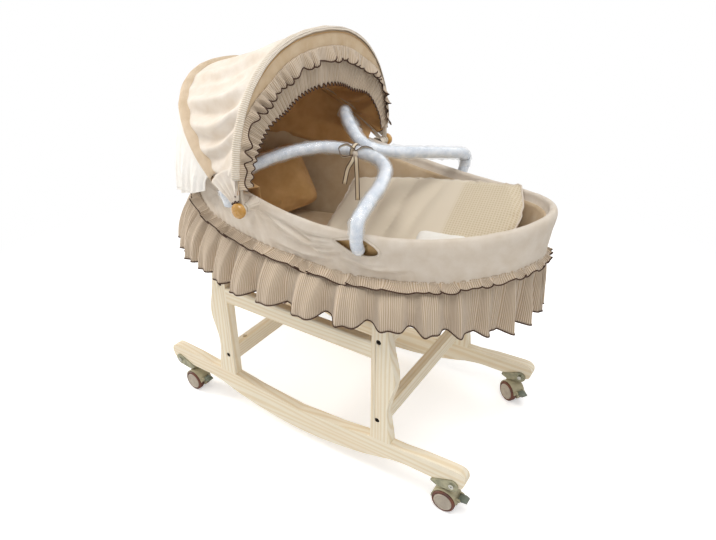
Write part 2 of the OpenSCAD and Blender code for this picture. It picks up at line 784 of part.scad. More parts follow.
// Half of a bow tube in its own plane, from the flat end up: radius, width
module bow_tube(w, h, m, angle, eye_mid) {
  half = concat(
    [[-eye_mid, bar_l - 6], [-eye_mid, bar_l + 8]],
    [for (psi = [26:8:90])
      [bow_y(psi, w - tube_inset, m), bow_r(psi, h - tube_inset, m)]]);
  path = concat(
    [for (q = half) hood_point(q[0], q[1], angle)],
    [for (i = [len(half) - 2:-1:0]) hood_point(-half[i][0], half[i][1], angle)]);
  tube(smooth_path(path, 2), bow_d / 2, 8, [-sin(angle), 0, cos(angle)]);
}

module bow_eyes(angle, y0) {
  for (s = [-1, 1])
    translate([hood_x, s > 0 ? y0 : -y0 - eye_t, hood_pivot_h])
      rotate([0, -angle, 0]) difference() {
        union() {
          y_rod(18, 0, eye_t);
          translate([0, 0, -bow_d / 2]) cube([bar_l, eye_t, bow_d]);
        }
        y_rod(pivot_d + 2 * running, -1, eye_t + 1);
      }
}

module rear_bow() {
  color("#d8cdbd") union() {
    bow_tube(rear_bow_w, rear_bow_h, rear_power, rear_bow_angle, rear_eye_y + eye_t / 2);
    bow_eyes(rear_bow_angle, rear_eye_y);
  }
}

module front_bow() {
  color("#d8cdbd") union() {
    bow_tube(front_bow_w, front_bow_h, front_power, front_bow_angle,
      front_eye_y + eye_t / 2);
    bow_eyes(front_bow_angle, front_eye_y);
  }
}

sleeve_d = 12;

module hood_pivot_bolts() {
  color(zinc) for (s = [0, 1]) mirror([0, s, 0]) translate([hood_x, 0, hood_pivot_h]) {
    y_rod(pivot_d, rim_half_w - rim_in - wicker_t - 0.5, knob_y + 9);
    y_rod(sleeve_d, rim_half_w - rim_in - 0.2, rear_eye_y - free);
  }
}

module hood_knobs() {
  color("#c99a3d") for (s = [0, 1]) mirror([0, s, 0])
    translate([hood_x, knob_y, hood_pivot_h]) rotate([-90, 0, 0]) difference() {
      rotate_extrude($fn = 64) polygon([
        [0, 0], [knob_d / 2 - 3, 0], [knob_d / 2 - 1, 1.5], [knob_d / 2, 4],
        [knob_d / 2, 9], [knob_d / 2 - 1.5, 11.5], [knob_d / 2 - 5, 13.2], [0, 14]]);
      translate([0, 0, -1]) cylinder(d = pivot_d, h = 10);
    }
}

// Canopy from the rear bow to the front bow, slightly slack between them
module canopy() {
  rows = 6;
  cols = 24;
  pivot = [hood_x, 0, hood_pivot_h];
  function face(inset) = [for (i = [0:rows]) let (u = i / rows)
    [for (j = [0:cols]) let (
        psi = mix(172, 8, j / cols),
        rear = bow_point(psi, rear_bow_w, rear_bow_h, rear_power, rear_bow_angle,
          inset - 0.5),
        front = bow_point(psi, front_bow_w, front_bow_h, front_power,
          front_bow_angle - 1.5, inset - 2),
        p = mix(rear, front, u))
      p + 6 * pow(sin(180 * u), 2) * unit(pivot - p)]];
  color(cream) between(face(0), face(hood_cloth_t));
}

// Curtain from the rear bow down over the head end, outside the skirt's heading
curtain_out = 24;       // clearance line of the curtain outside the rim
curtain_drop = 130;     // how far its hem hangs below the rim at the head end

module rear_curtain() {
  rows = 6;
  cols = 32;
  function face(off) = [for (i = [0:rows]) let (v = i / rows) [for (j = [0:cols]) let (
      u = j / cols,
      psi = mix(166, 14, u),
      a = mix(112, 248, u),
      top = bow_point(psi, rear_bow_w, rear_bow_h, rear_power, rear_bow_angle + 1.6, 1 - off),
      hang = mix(curtain_drop, 24, pow(abs(2 * u - 1), 2.5)),
      q = plan(a, curtain_out + off + 5 * (1 - cos(14 * 360 * u)) * (1 - v)),
      low = [q[0], q[1], rim_at(a) - hang],
      inward = pow(v, 2.4))
    [mix(low[0], top[0], inward), mix(low[1], top[1], inward),
     mix(low[2], top[2], v)]]];
  color(cream) between(face(hood_cloth_t), face(0));
}

// Rings of cloth around the hood's mouth, all just ahead of the front bow's tube.
// The brim is deep at the top only, the frills run down to the knobs
function top_share(psi) = ease((90 - abs(psi - 90) - 24) / 34);

module mouth_ring(d0, d1, f0, f1, t, wave, waves, ahead) {
  cols = 96;
  function face(back) = [for (v = [0, 1]) [for (j = [0:cols]) let (
      psi = mix(6, 174, j / cols),
      depth = mouth_start + mix(d0, d1, v) * mix(0.12, 1, top_share(psi))
        + mix(f0, f1, v) * mix(0.6, 1, top_share(psi)),
      p = bow_point(psi, front_bow_w - depth * 0.85, front_bow_h - depth, front_power,
        front_bow_angle, 0),
      out = bow_d / 2 + ahead + v * wave * (0.5 + 0.5 * cos(waves * 360 * j / cols)) + back)
    [p[0] + out, p[1], p[2]]]];
  between(face(0), face(t));
}

mouth_start = hood_cloth_t + 1.5;
brim_reach = brim_w - mouth_start;

module brim() {
  color(cream) mouth_ring(0, brim_reach, 0, 0, 2, 0, 0, free);
}

module front_ruffle() {
  color(stripe) mouth_ring(brim_reach, brim_reach, -4, ruffle_w - 4, 2, 7, 16,
    2 + 2 * free);
}

module inner_frill() {
  color(stripe) mouth_ring(brim_reach, brim_reach, 1, ruffle_w + frill_w - 20, 1.6, 0.3,
    32, 0);
}

// Handles: hand-placed middle line from the rear foot, +X towards the forward foot and
// +Y inwards over the basket
near_line = [[0, 0, 0], [-1, -5.4, 14], [-1, -9, 28], [0, -7.6, 40], [2, 2, 49],
  [5, 17, 54], [12, 48, 62], [24, 92, 69], [46, 138, 76], [86, 176, 84],
  [145, 190, 89], [203, 177, 93], [245, 140, 93], [267, 82, 87], [275, 30, 77],
  [279, -9, 61], [281, -16, 40], [281, -12, 17], [280, 0, 0]];
far_line = [[0, 0, 0], [-1, -5.4, 14], [-1, -9, 28], [0, -7.6, 40], [3, 3, 50],
  [9, 24, 64], [20, 61, 86], [40, 105, 116], [75, 146, 118], [113, 175, 108],
  [145, 187, 95], [179, 184, 89], [220, 150, 86], [251, 96, 80], [272, 40, 70],
  [279, -4, 58], [281, -16, 40], [281, -12, 17], [280, 0, 0]];
eye_l = 12;             // width of the eye at a handle's foot
lug_t = 2.5;            // ears of a handle bracket

module handle_shape(line) {
  reach = feet_l / 280;
  color("#eef0f4") {
    difference() {
      tube(smooth_path([for (p = line) [feet[0] + p[0] * reach, p[1], p[2]]], 3),
        handle_d / 2, 10, [0, -0.47, 0.88]);
      for (x = feet) translate([x, 0, 0]) {
        x_rod(handle_d + 1, -eye_l / 2 - 20, -eye_l / 2);
        x_rod(handle_d + 1, eye_l / 2, eye_l / 2 + 20);
        x_rod(pivot_d + 2 * running, -20, 20);
      }
    }
    for (x = feet) translate([x, 0, 0]) difference() {
      x_rod(handle_d - 4, -eye_l / 2, eye_l / 2);
      x_rod(pivot_d + 2 * running, -20, 20);
    }
  }
}

module near_handle() {
  at_handle(-1) handle_shape(near_line);
}

module far_handle() {
  at_handle(1) handle_shape(far_line);
}

// Brackets let into the woven wall that hold the handle pins
module handle_brackets() {
  gap = eye_l / 2 + free;
  color(zinc) for (side = [-1, 1]) at_handle(side) for (x = feet)
    translate([x, 0, 0]) {
      x_rod(pivot_d, -gap - lug_t, gap + lug_t);
      for (s = [-1, 1]) translate([s > 0 ? gap : -gap - lug_t, -6, -7])
        cube([lug_t, 23, 14]);
    }
}

// Ribbon tied around the near handle's crown: a band, two loops and two tails
module handle_ribbon() {
  color("#d9c9ad") at_handle(-1) translate([8, 190, 89.5]) {
    x_rod_ring(handle_d / 2 + 3.4, handle_d / 2 + 1.4, 9);
    for (s = [-1, 1]) translate([s * 10, -handle_d / 2 - 6, 4]) rotate([0, s * 35, 0])
      scale([1, 0.35, 0.5]) sphere(r = 11, $fn = 20);
    for (s = [-1, 1]) translate([s * 5 - 3.5, -handle_d / 2 - 5, 0])
      rotate([5, s * 6, 0]) translate([0, 0, -50]) cube([7, 2, 50]);
  }
}

module x_rod_ring(outer_r, inner_r, width) {
  rotate([0, 90, 0]) difference() {
    cylinder(r = outer_r, h = width, center = true);
    cylinder(r = inner_r, h = width + 2, center = true);
  }
}

rocker(-frame_y);  // near_rocker
rocker(frame_y);  // far_rocker
leg(-1, -1);  // near_head_leg
leg(1, -1);  // near_foot_leg
leg(-1, 1);  // far_head_leg
leg(1, 1);  // far_foot_leg
rail(-1);  // near_rail
rail(1);  // far_rail
crossbar(-1, low_bar_h);  // head_lower_crossbar
crossbar(1, low_bar_h);  // foot_lower_crossbar
crossbar(-1, top_bar_h);  // head_upper_crossbar
crossbar(1, top_bar_h);  // foot_upper_crossbar
frame_bolts();
barrel_nuts();
bracket_screws();
bracket(1, -1);  // near_foot_bracket
fork(1, -1);  // near_foot_fork
wheel(1, -1, -1);  // near_foot_outer_wheel
wheel(1, -1, 1);  // near_foot_inner_wheel
brake(1, -1);  // near_foot_brake
bracket(-1, -1);  // near_head_bracket
fork(-1, -1);  // near_head_fork
wheel(-1, -1, -1);  // near_head_outer_wheel
wheel(-1, -1, 1);  // near_head_inner_wheel
brake(-1, -1);  // near_head_brake
bracket(1, 1);  // far_foot_bracket
fork(1, 1);  // far_foot_fork
wheel(1, 1, -1);  // far_foot_outer_wheel
wheel(1, 1, 1);  // far_foot_inner_wheel
brake(1, 1);  // far_foot_brake
bracket(-1, 1);  // far_head_bracket
fork(-1, 1);  // far_head_fork
wheel(-1, 1, -1);  // far_head_outer_wheel
wheel(-1, 1, 1);  // far_head_inner_wheel
brake(-1, 1);  // far_head_brake
woven_basket();
base_board();
mattress();
liner();
cover();
skirt();
skirt_heading();
quilt();
pillow();
side_pillow();
rear_curtain();
hood_pivot_bolts();
hood_knobs();
handle_brackets();
rear_bow();
canopy();
front_bow();
brim();
front_ruffle();
inner_frill();
near_handle();
far_handle();
handle_ribbon();
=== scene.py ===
# %% [markdown]
# # A bassinet on a rocking stand
# The real thing is a wicker basket with a sprung hood, dressed in gathered cotton, resting on
# a pine stand with four casters. The construction model already fixes where every part sits,
# so this lesson loads it as a frame and dresses it: wood and metal get finishes, and all
# cloth is made anew as cloth.

# %% Load the measured frame
import math
import bmesh
import bpy
import numpy as np
from mathutils import Matrix, Vector


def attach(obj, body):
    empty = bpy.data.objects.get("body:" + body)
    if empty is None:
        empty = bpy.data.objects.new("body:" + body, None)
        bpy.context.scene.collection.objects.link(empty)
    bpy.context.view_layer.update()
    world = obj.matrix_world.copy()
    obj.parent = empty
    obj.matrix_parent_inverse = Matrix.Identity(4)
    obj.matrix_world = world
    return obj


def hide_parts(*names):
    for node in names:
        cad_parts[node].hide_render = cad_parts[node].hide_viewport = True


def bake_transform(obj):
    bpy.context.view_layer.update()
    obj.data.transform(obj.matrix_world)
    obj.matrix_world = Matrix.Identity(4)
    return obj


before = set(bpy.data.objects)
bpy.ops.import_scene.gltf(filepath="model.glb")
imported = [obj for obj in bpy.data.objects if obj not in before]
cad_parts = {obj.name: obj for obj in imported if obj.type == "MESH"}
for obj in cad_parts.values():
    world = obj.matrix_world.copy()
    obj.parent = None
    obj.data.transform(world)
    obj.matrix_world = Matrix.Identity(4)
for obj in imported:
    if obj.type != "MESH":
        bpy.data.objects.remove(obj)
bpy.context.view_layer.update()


def new_object(name, data):
    made = bpy.data.objects.new(name, data)
    bpy.context.collection.objects.link(made)
    return made


def aim(made, place, way):
    # Puts a camera or lamp at a place and turns it to look that way
    made.location = place
    made.rotation_mode = "QUATERNION"
    made.rotation_quaternion = Vector(way).to_track_quat("-Z", "Y")


# %% [markdown]
# The camera comes first, because every detail is judged through it. Its place, tilt and lens
# were solved from the bolts, the caster pivots and the board ends of the stand. The picture
# is 716 by 540 pixels, and the lens follows from the focal length in pixels.

# %% Camera
SIGHT_LENGTH, PICTURE_W, SENSOR_W = 596.07, 716, 36
camera_data = bpy.data.cameras.new("camera")
camera_data.sensor_width = SENSOR_W
camera_data.lens = SENSOR_W * SIGHT_LENGTH / PICTURE_W
camera = new_object("camera", camera_data)
aim(camera, (0.6149, -0.9560, 0.9657), (-0.4716, 0.7376, -0.4833))
bpy.context.scene.camera = camera
bpy.context.scene.view_settings.view_transform = "Standard"
print("lens", round(camera_data.lens, 2), "mm")

# %% [markdown]
# A material here is a small tree of nodes. One function adds a node with its settings and
# links, and one turns a colour as written in a paint chart into light. Colours are sRGB. The
# steps that every finish needs (arithmetic, a change of range, a mix of two colours, a
# noise and the surface itself) have a short function each.

# %% Helpers for materials
def rgb(code):
    parts = [int(code[i:i + 2], 16) / 255 for i in (1, 3, 5)]
    return [c / 12.92 if c <= 0.04045 else ((c + 0.055) / 1.055) ** 2.4 for c in parts] + [1]


def add(tree, kind, sockets=None, **settings):
    made = tree.nodes.new(kind)
    for key, value in settings.items():
        setattr(made, key, value)
    for key, value in (sockets or {}).items():
        if isinstance(value, bpy.types.NodeSocket):
            tree.links.new(value, made.inputs[key])
        else:
            made.inputs[key].default_value = value
    return made


def start(name):
    material = bpy.data.materials.new(name)
    material.use_nodes = True
    material.node_tree.nodes.clear()
    return material, material.node_tree


def close(tree, shader):
    add(tree, "ShaderNodeOutputMaterial", {"Surface": shader.outputs[0]})


def reckon(tree, how, *values):
    return add(tree, "ShaderNodeMath", dict(enumerate(values)), operation=how).outputs[0]


def ranged(tree, value, *limits):
    # Limits are low and high of the value, then low and high of the result
    return add(tree, "ShaderNodeMapRange", dict(enumerate((value, *limits)))).outputs[0]


def mixed(tree, share, low, high):
    return add(tree, "ShaderNodeMix", {0: share, 6: low, 7: high},
               data_type="RGBA").outputs[2]


def object_place(tree):
    return add(tree, "ShaderNodeTexCoord").outputs["Object"]


def cloth_lengths(tree):
    # Lengths along and across the cloth in metres, from its UV map
    uv = add(tree, "ShaderNodeUVMap", uv_map="cloth")
    return add(tree, "ShaderNodeSeparateXYZ", {0: uv.outputs[0]}).outputs


def noise(tree, place, scale, detail, roughness=0.5):
    return add(tree, "ShaderNodeTexNoise", {"Vector": place, "Scale": scale,
                                            "Detail": detail, "Roughness": roughness}).outputs


def waves(tree, length, pitch):
    # Sine waves that repeat every pitch millimetres
    return reckon(tree, "SINE", reckon(tree, "MULTIPLY", length,
                                       2 * math.pi / (pitch * 0.001)))


def surface(tree, colour, roughness, height, strength, distance, more):
    # Closes the tree with a surface whose fine relief follows the height
    raised = add(tree, "ShaderNodeBump", {"Strength": strength, "Distance": distance,
                                          "Height": height})
    close(tree, add(tree, "ShaderNodeBsdfPrincipled", {
        "Base Color": colour, "Roughness": roughness, "Normal": raised.outputs[0], **more}))


# %% [markdown]
# The studio is plain: a white floor, an even white surround and a large soft lamp high on
# the head end's side, as in a catalogue picture. The floor adds a little of its own white for
# the camera alone, and turns to plain white paper further out, so the ground is white all
# over and still keeps the object's shadow.

# %% Floor, surround and lamps
floor_mesh = bpy.data.meshes.new("floor")
floor_mesh.from_pydata([(-40, -40, 0), (40, -40, 0), (40, 40, 0), (-40, 40, 0)], [],
                       [(0, 1, 2, 3)])
floor = new_object("floor", floor_mesh)
floor_paint, tree = start("studio_floor_paint")
path = add(tree, "ShaderNodeLightPath")
matt = add(tree, "ShaderNodeBsdfDiffuse", {"Color": rgb("#f4f4f4")})
glow = add(tree, "ShaderNodeEmission", {"Color": (1, 1, 1, 1), "Strength": 0.42})
none = add(tree, "ShaderNodeEmission", {"Color": (0, 0, 0, 1), "Strength": 0.0})
pick = add(tree, "ShaderNodeMixShader", {0: path.outputs["Is Camera Ray"],
                                         1: none.outputs[0], 2: glow.outputs[0]})
under = add(tree, "ShaderNodeAddShader", {0: matt.outputs[0], 1: pick.outputs[0]})
reach = add(tree, "ShaderNodeVectorMath", {0: object_place(tree)}, operation="LENGTH")
away = add(tree, "ShaderNodeMapRange", {0: reach.outputs["Value"], 1: 0.75, 2: 1.5},
           interpolation_type="SMOOTHSTEP")
clear = reckon(tree, "MULTIPLY", away.outputs[0], path.outputs["Is Camera Ray"])
paper = add(tree, "ShaderNodeEmission", {"Color": (1, 1, 1, 1), "Strength": 1.0})
close(tree, add(tree, "ShaderNodeMixShader", {0: clear, 1: under.outputs[0],
                                              2: paper.outputs[0]}))
floor_mesh.materials.append(floor_paint)

world = bpy.data.worlds.new("surround")
bpy.context.scene.world = world
world.use_nodes = True
world.node_tree.nodes.clear()
tree = world.node_tree
path = add(tree, "ShaderNodeLightPath")
seen = reckon(tree, "MAXIMUM", path.outputs["Is Camera Ray"],
              path.outputs["Is Transmission Ray"])
seen = reckon(tree, "MAXIMUM", seen, path.outputs["Is Glossy Ray"])
white = add(tree, "ShaderNodeBackground", {"Color": (1, 1, 1, 1), "Strength": 1.0})
soft = add(tree, "ShaderNodeBackground", {"Color": rgb("#f7f6f4"), "Strength": 0.56})
both = add(tree, "ShaderNodeMixShader", {0: seen, 1: soft.outputs[0],
                                         2: white.outputs[0]})
add(tree, "ShaderNodeOutputWorld", {"Surface": both.outputs[0]})


def lamp(name, place, target, size, power, colour):
    data = bpy.data.lights.new(name, "AREA")
    data.shape = "SQUARE"
    data.size = size
    data.energy = power
    data.color = rgb(colour)[:3]
    aim(new_object(name, data), place, Vector(target) - Vector(place))


lamp("key", (-2.5, -0.7, 1.25), (0, 0, 0.5), 0.6, 41, "#fffaf3")
lamp("top", (0.5, -0.5, 2.5), (0.1, 0, 0.45), 1.3, 24, "#ffffff")
lamp("fill", (1.8, -1.9, 1.2), (0, 0, 0.4), 1.6, 6, "#f6f7fb")
lamp("back", (0.6, 2.2, 1.8), (0, 0, 0.5), 1.4, 9, "#ffffff")

# %% [markdown]
# Cotton is matt, with a faint sheen from its fuzz, and its weave shows as a fine grid. Real
# threads are 0.4 mm apart, finer than this picture shows, so the weave is drawn at 1.6 mm.
# Cloth pieces carry a UV map in metres along and across the cloth, so a pattern bends with it.

# %% Cotton finishes
WEAVE, MOTTLE = 1.6, 28.0
MATT = {"Sheen Weight": 0.15, "Specular IOR Level": 0.25}


def cotton(name, pale, deep):
    material, tree = start(name)
    along, across, _ = cloth_lengths(tree)
    weft = reckon(tree, "MULTIPLY", waves(tree, along, WEAVE), waves(tree, across, WEAVE))
    cloud = noise(tree, object_place(tree), 1000 / MOTTLE, 3.0, 0.55)[0]
    colour = mixed(tree, ranged(tree, cloud, 0.3, 0.7), rgb(deep), rgb(pale))
    surface(tree, colour, 0.9, weft, 0.35, 0.0006, MATT)
    return material


# Narrow corduroy: soft raised cords, their valleys darkened by painted shade. The cords are
# 2.5 mm apart on the real cloth and drawn at 4 mm, the finest that this picture can hold.
def corduroy(name, ridge, valley, pitch=4.0, relief=0.6):
    material, tree = start(name)
    cords = waves(tree, cloth_lengths(tree)[0], pitch)
    cloud = noise(tree, object_place(tree), 30.0, 3.0)[0]
    share = reckon(tree, "MULTIPLY", ranged(tree, cords, -0.7, 0.8),
                   ranged(tree, cloud, 0.3, 0.7, 0.8, 1.0))
    # The valley colour is painted shade where the cords dip; the ridge colour is the cloth's own
    surface(tree, mixed(tree, share, rgb(valley), rgb(ridge)), 0.88, cords, relief, 0.0008,
            {**MATT, "Sheen Weight": 0.25})
    return material


# Waffle cotton: square cells with raised borders, 5.5 mm apart, on one end of the quilt. Their
# hollows are darkened by painted shade.
WAFFLE_CELL, WAFFLE_START = 5.5, 0.315


def waffle(name, pale, deep):
    material, tree = start(name)
    along, across, _ = cloth_lengths(tree)
    walls = reckon(tree, "MAXIMUM", waves(tree, along, WAFFLE_CELL),
                   waves(tree, across, WAFFLE_CELL))
    begun = ranged(tree, along, WAFFLE_START, WAFFLE_START + 0.01)
    cells = reckon(tree, "MULTIPLY", ranged(tree, walls, 0.0, 1.0), begun)
    height = reckon(tree, "ADD", cells, reckon(tree, "SUBTRACT", 1.0, begun))
    # The deep colour in the cells' hollows is painted shade
    surface(tree, mixed(tree, height, rgb(deep), rgb(pale)), 0.9, height, 0.45, 0.0009,
            {**MATT, "Sheen Weight": 0.2})
    return material


cream_cotton = cotton("cream_cotton_twill", "#e3d8ca", "#d8cab8")
hood_cotton = cotton("cream_cotton_hood_cloth", "#f0e7dc", "#e4d7c7")
band_cotton = cotton("beige_cotton_band", "#dcc8ae", "#cdb698")
lining_cotton = cotton("beige_cotton_lining", "#d8c2a3", "#cbb08c")
tan_cotton = cotton("tan_cotton_hood_lining", "#d8ac76", "#c89c64")
curtain_cotton = cotton("bleached_cotton_curtain", "#faf8f4", "#f2ede6")
pillow_cotton = cotton("white_cotton_pillowcase", "#f8f5ee", "#efe9de")
# The second colour of each corduroy is the painted shade in its valleys
stripe_cord = corduroy("fine_corduroy", "#d8c8b5", "#b59f84")
ribbed_cord = corduroy("ribbed_corduroy_strip", "#ebe3d6", "#d0c0aa", pitch=3.6, relief=0.5)
# The second colour is the painted shade in the waffle's cells
waffle_cotton = waffle("waffle_cotton", "#dccfba", "#c9b898")
print("cotton finishes made")

# %% [markdown]
# The dark brown overlock edging is a thick chain of polyester thread over the raw edge. Its
# loops run across the edge every 2 mm, which reads as a fine rope, and painted shade darkens
# the gaps between them.

# %% Overlock thread
overlock, tree = start("brown_overlock_thread")
run = add(tree, "ShaderNodeAttribute", attribute_name="along")
loops = waves(tree, run.outputs["Fac"], 2.2)
# The darker colour between the loops is painted shade
surface(tree, mixed(tree, ranged(tree, loops, -1.0, 1.0), rgb("#33221b"), rgb("#5d4233")),
        0.7, loops, 0.6, 0.0004, {"Specular IOR Level": 0.3})

# %% [markdown]
# Pine is sawn and sanded but not varnished: pale cream with slightly darker, slanting year
# rings drawn out along the board, a few small knots, and a satin surface. The rings are
# rippled bands about 7 mm apart, stretched fourteen times along the board, and the knots
# nearly twice. One finish each for boards that lie along X, Y and Z.

# %% Pine
GRAIN_STRETCH, KNOT_STRETCH = 0.07, 0.55


def pine(name, long_axis, offset):
    material, tree = start(name)
    place = object_place(tree)

    def drawn_out(share):
        squeeze = [1.0, 1.0, 1.0]
        squeeze[long_axis] = share
        return add(tree, "ShaderNodeMapping", {"Vector": place, "Location": offset,
                                               "Scale": squeeze}).outputs[0]

    grain = drawn_out(GRAIN_STRETCH)
    pushed = add(tree, "ShaderNodeMixRGB", {0: 0.03, 1: grain,
                                            2: noise(tree, grain, 18.0, 2.0)[1]},
                 blend_type="ADD")
    rings = add(tree, "ShaderNodeTexWave", {"Vector": pushed.outputs[0], "Scale": 42.0,
                                            "Distortion": 1.2, "Detail": 2.0,
                                            "Detail Scale": 1.5},
                wave_type="RINGS", rings_direction="XYZ"[long_axis])
    fibre = noise(tree, grain, 700.0, 2.0)[0]
    broad = noise(tree, grain, 40.0, 2.0)[0]
    ramp = add(tree, "ShaderNodeValToRGB", {0: rings.outputs["Fac"]})
    for stop, code, at in zip(ramp.color_ramp.elements, ("#f2e9d5", "#e8d9bb"),
                              (0.35, 0.95)):
        stop.color = rgb(code)
        stop.position = at
    colour = mixed(tree, ranged(tree, fibre, 0.35, 0.75, 0.0, 0.22), ramp.outputs[0],
                   rgb("#dfcba6"))
    colour = mixed(tree, ranged(tree, broad, 0.45, 0.75, 0.0, 0.3), colour, rgb("#e9d3b3"))
    cells = add(tree, "ShaderNodeTexVoronoi", {"Vector": drawn_out(KNOT_STRETCH),
                                               "Scale": 9.0, "Randomness": 1.0})
    colour = mixed(tree, ranged(tree, cells.outputs["Distance"], 0.03, 0.09, 0.5, 0.0),
                   colour, rgb("#a8794a"))
    surface(tree, colour, 0.55, fibre, 0.25, 0.0004, {"Specular IOR Level": 0.4})
    return material


pine_x = pine("sanded_pine_along", 0, (0.013, 0.037, 0.021))
pine_y = pine("sanded_pine_across", 1, (0.051, 0.011, 0.067))
pine_z = pine("sanded_pine_upright", 2, (0.029, 0.083, 0.041))


# %% [markdown]
# Bare and plated metals are full metals whose colour is their reflection. Moulded plastics
# have a plain colour, a fine spark-eroded texture, and a soft highlight.

# %% Metals, plastics and small finishes
def smooth_finish(name, colour, deep, rough, metal=0.0, grit=1.2, relief=0.08, coat=0.0):
    material, tree = start(name)
    place = object_place(tree)
    speck = noise(tree, place, 1000 / grit, 2.0)[0]
    cloud = noise(tree, place, 60.0, 3.0)[0]
    tone = mixed(tree, ranged(tree, cloud, 0.35, 0.65), rgb(deep), rgb(colour))
    wear = ranged(tree, cloud, 0.3, 0.7, rough * 0.8, min(1.0, rough * 1.2))
    surface(tree, tone, wear, speck, relief, 0.0003, {"Metallic": metal, "Coat Weight": coat})
    return material


blackened = smooth_finish("blackened_steel", "#4a443d", "#2c2824", 0.42, metal=1.0)
plated = smooth_finish("yellow_zinc_plating", "#b4b096", "#8f8f7c", 0.3, metal=1.0)
bright = smooth_finish("bright_zinc_plating", "#d6d6d0", "#b4b4ac", 0.22, metal=1.0)
housing = smooth_finish("moulded_olive_cream_abs", "#b3ab8d", "#a29b7e", 0.42)
disc_abs = smooth_finish("moulded_greige_abs", "#b7ac9c", "#a99e8f", 0.4)
tyre_pu = smooth_finish("brown_polyurethane_tyre", "#6f3f2b", "#4f2c20", 0.5)
brake_abs = smooth_finish("moulded_grey_green_abs", "#737a6c", "#5f675b", 0.45)
bow_abs = smooth_finish("extruded_cream_bow_tube", "#d9cfc0", "#cbc0b0", 0.5)
board_fibre = smooth_finish("pressed_fibreboard", "#b3946a", "#9c7f58", 0.85, grit=0.8,
                            relief=0.4)
rattan = smooth_finish("peeled_rattan", "#c9a877", "#ab8755", 0.6, grit=0.9, relief=0.3)
knob_wood = smooth_finish("varnished_beech_knob", "#cf9f4e", "#b98738", 0.3, coat=0.5)
print("finishes", len(bpy.data.materials))

# %% [markdown]
# ## Finishes on the stand
# The stand's own solids have the right shape, so they keep it. Sanding breaks every sharp
# edge of a real board, and a small Bevel after a Weld does the same for the eye: the edges
# catch a thin line of light.

# %% Dress the stand's solids
def dress(name, material):
    made = bpy.data.objects[name]
    made.data.materials.clear()
    made.data.materials.append(material)


def soften(name, width):
    made = bpy.data.objects[name]
    weld = made.modifiers.new("weld", "WELD")
    weld.merge_threshold = 0.00002
    bevel = made.modifiers.new("sanded_edge", "BEVEL")
    bevel.width = width
    bevel.segments = 2
    bevel.limit_method = "ANGLE"
    bevel.angle_limit = math.radians(35)


BOARD_EDGE, CROSSBAR_EDGE = 0.0016, 0.0014
for side in ("near", "far"):
    for board, finish in (("_rocker", pine_x), ("_rail", pine_x), ("_head_leg", pine_z),
                          ("_foot_leg", pine_z)):
        dress(side + board, finish)
        soften(side + board, BOARD_EDGE)
for end in ("head", "foot"):
    for level in ("_lower_crossbar", "_upper_crossbar"):
        dress(end + level, pine_y)
        soften(end + level, CROSSBAR_EDGE)
for name, finish in (("frame_bolts", blackened), ("barrel_nuts", bright),
                     ("bracket_screws", bright), ("hood_pivot_bolts", bright),
                     ("handle_brackets", bright), ("hood_knobs", knob_wood),
                     ("rear_bow", bow_abs), ("front_bow", bow_abs),
                     ("base_board", board_fibre), ("woven_basket", rattan)):
    dress(name, finish)
# Each caster's end and side of the stand, and how far its fork has swivelled, in degrees
CORNERS = {"near_foot": (1, -1, 0), "near_head": (-1, -1, 183), "far_foot": (1, 1, 32),
           "far_head": (-1, 1, 160)}
for corner in CORNERS:
    dress(corner + "_bracket", plated)
    dress(corner + "_fork", housing)
    dress(corner + "_brake", brake_abs)
print("dressed", len(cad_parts), "solids")

# %% [markdown]
# ## Cloth in mesh code
# All cloth follows the basket's rim. Its plan is two half ellipses that meet at the widest
# section, and its height falls towards the foot and curls up again. The same few formulas
# that shaped the solids place every stitch here, in millimetres.

# %% The rim's formulas
WIDE_X, RIM_FOOT, RIM_HEAD, RIM_HALF, RIM_H = -49.0, 450.0, 352.0, 220.0, 555.0
RIM_FALL, FOOT_RISE, HEAD_RISE, BASE_INSET = 90.0, 100.0, 10.0, 60.0
BASKET_FLOOR, RIM_IN, COVER_DROP = 351.8, 4.6, 86.0


def plan(a, off):
    c = np.cos(a)
    reach = np.where(c >= 0, RIM_FOOT, RIM_HEAD) + off
    return WIDE_X + reach * c, (RIM_HALF + off) * np.sin(a)


def rim_at(a):
    t = (plan(a, 0)[0] - WIDE_X) / RIM_FOOT
    return RIM_H - RIM_FALL * t + np.where(t > 0, FOOT_RISE, HEAD_RISE) * t * t


def wall_in(a, z):
    share = (z - BASKET_FLOOR) / (rim_at(a) - RIM_IN - BASKET_FLOOR)
    return -BASE_INSET * np.clip(1 - share, 0, 1)


def circle(count):
    return np.linspace(0, 2 * math.pi, count, endpoint=False)


def unit(v):
    return v / np.maximum(np.linalg.norm(v, axis=-1, keepdims=True), 1e-9)


def ease(v):
    t = np.clip(v, 0, 1)
    return t * t * (3 - 2 * t)


def spow(v, p):
    return np.sign(v) * np.abs(v) ** p


def seam_drop(a):
    # Depth of the seam between cover and skirt, which runs lower at the head end
    return COVER_DROP + 0.12 * np.maximum(0, -plan(a, 0)[0])


def beside(a):
    # 1 beside and behind the basket, 0 round its foot end
    return 1 - ease((np.cos(a) - 0.56) / 0.36)


def smooth(points, steps):
    # Rounded path through given points
    p = np.array(points, float)
    ends = np.vstack([2 * p[0] - p[1], p, 2 * p[-1] - p[-2]])
    out = []
    for i in range(len(p) - 1):
        a, b, c, d = ends[i:i + 4]
        for k in range(steps):
            t = k / steps
            out.append(0.5 * (2 * b + (c - a) * t + (2 * a - 5 * b + 4 * c - d) * t * t
                              + (3 * b - a - 3 * c + d) * t ** 3))
    return np.array(out + [p[-1]])


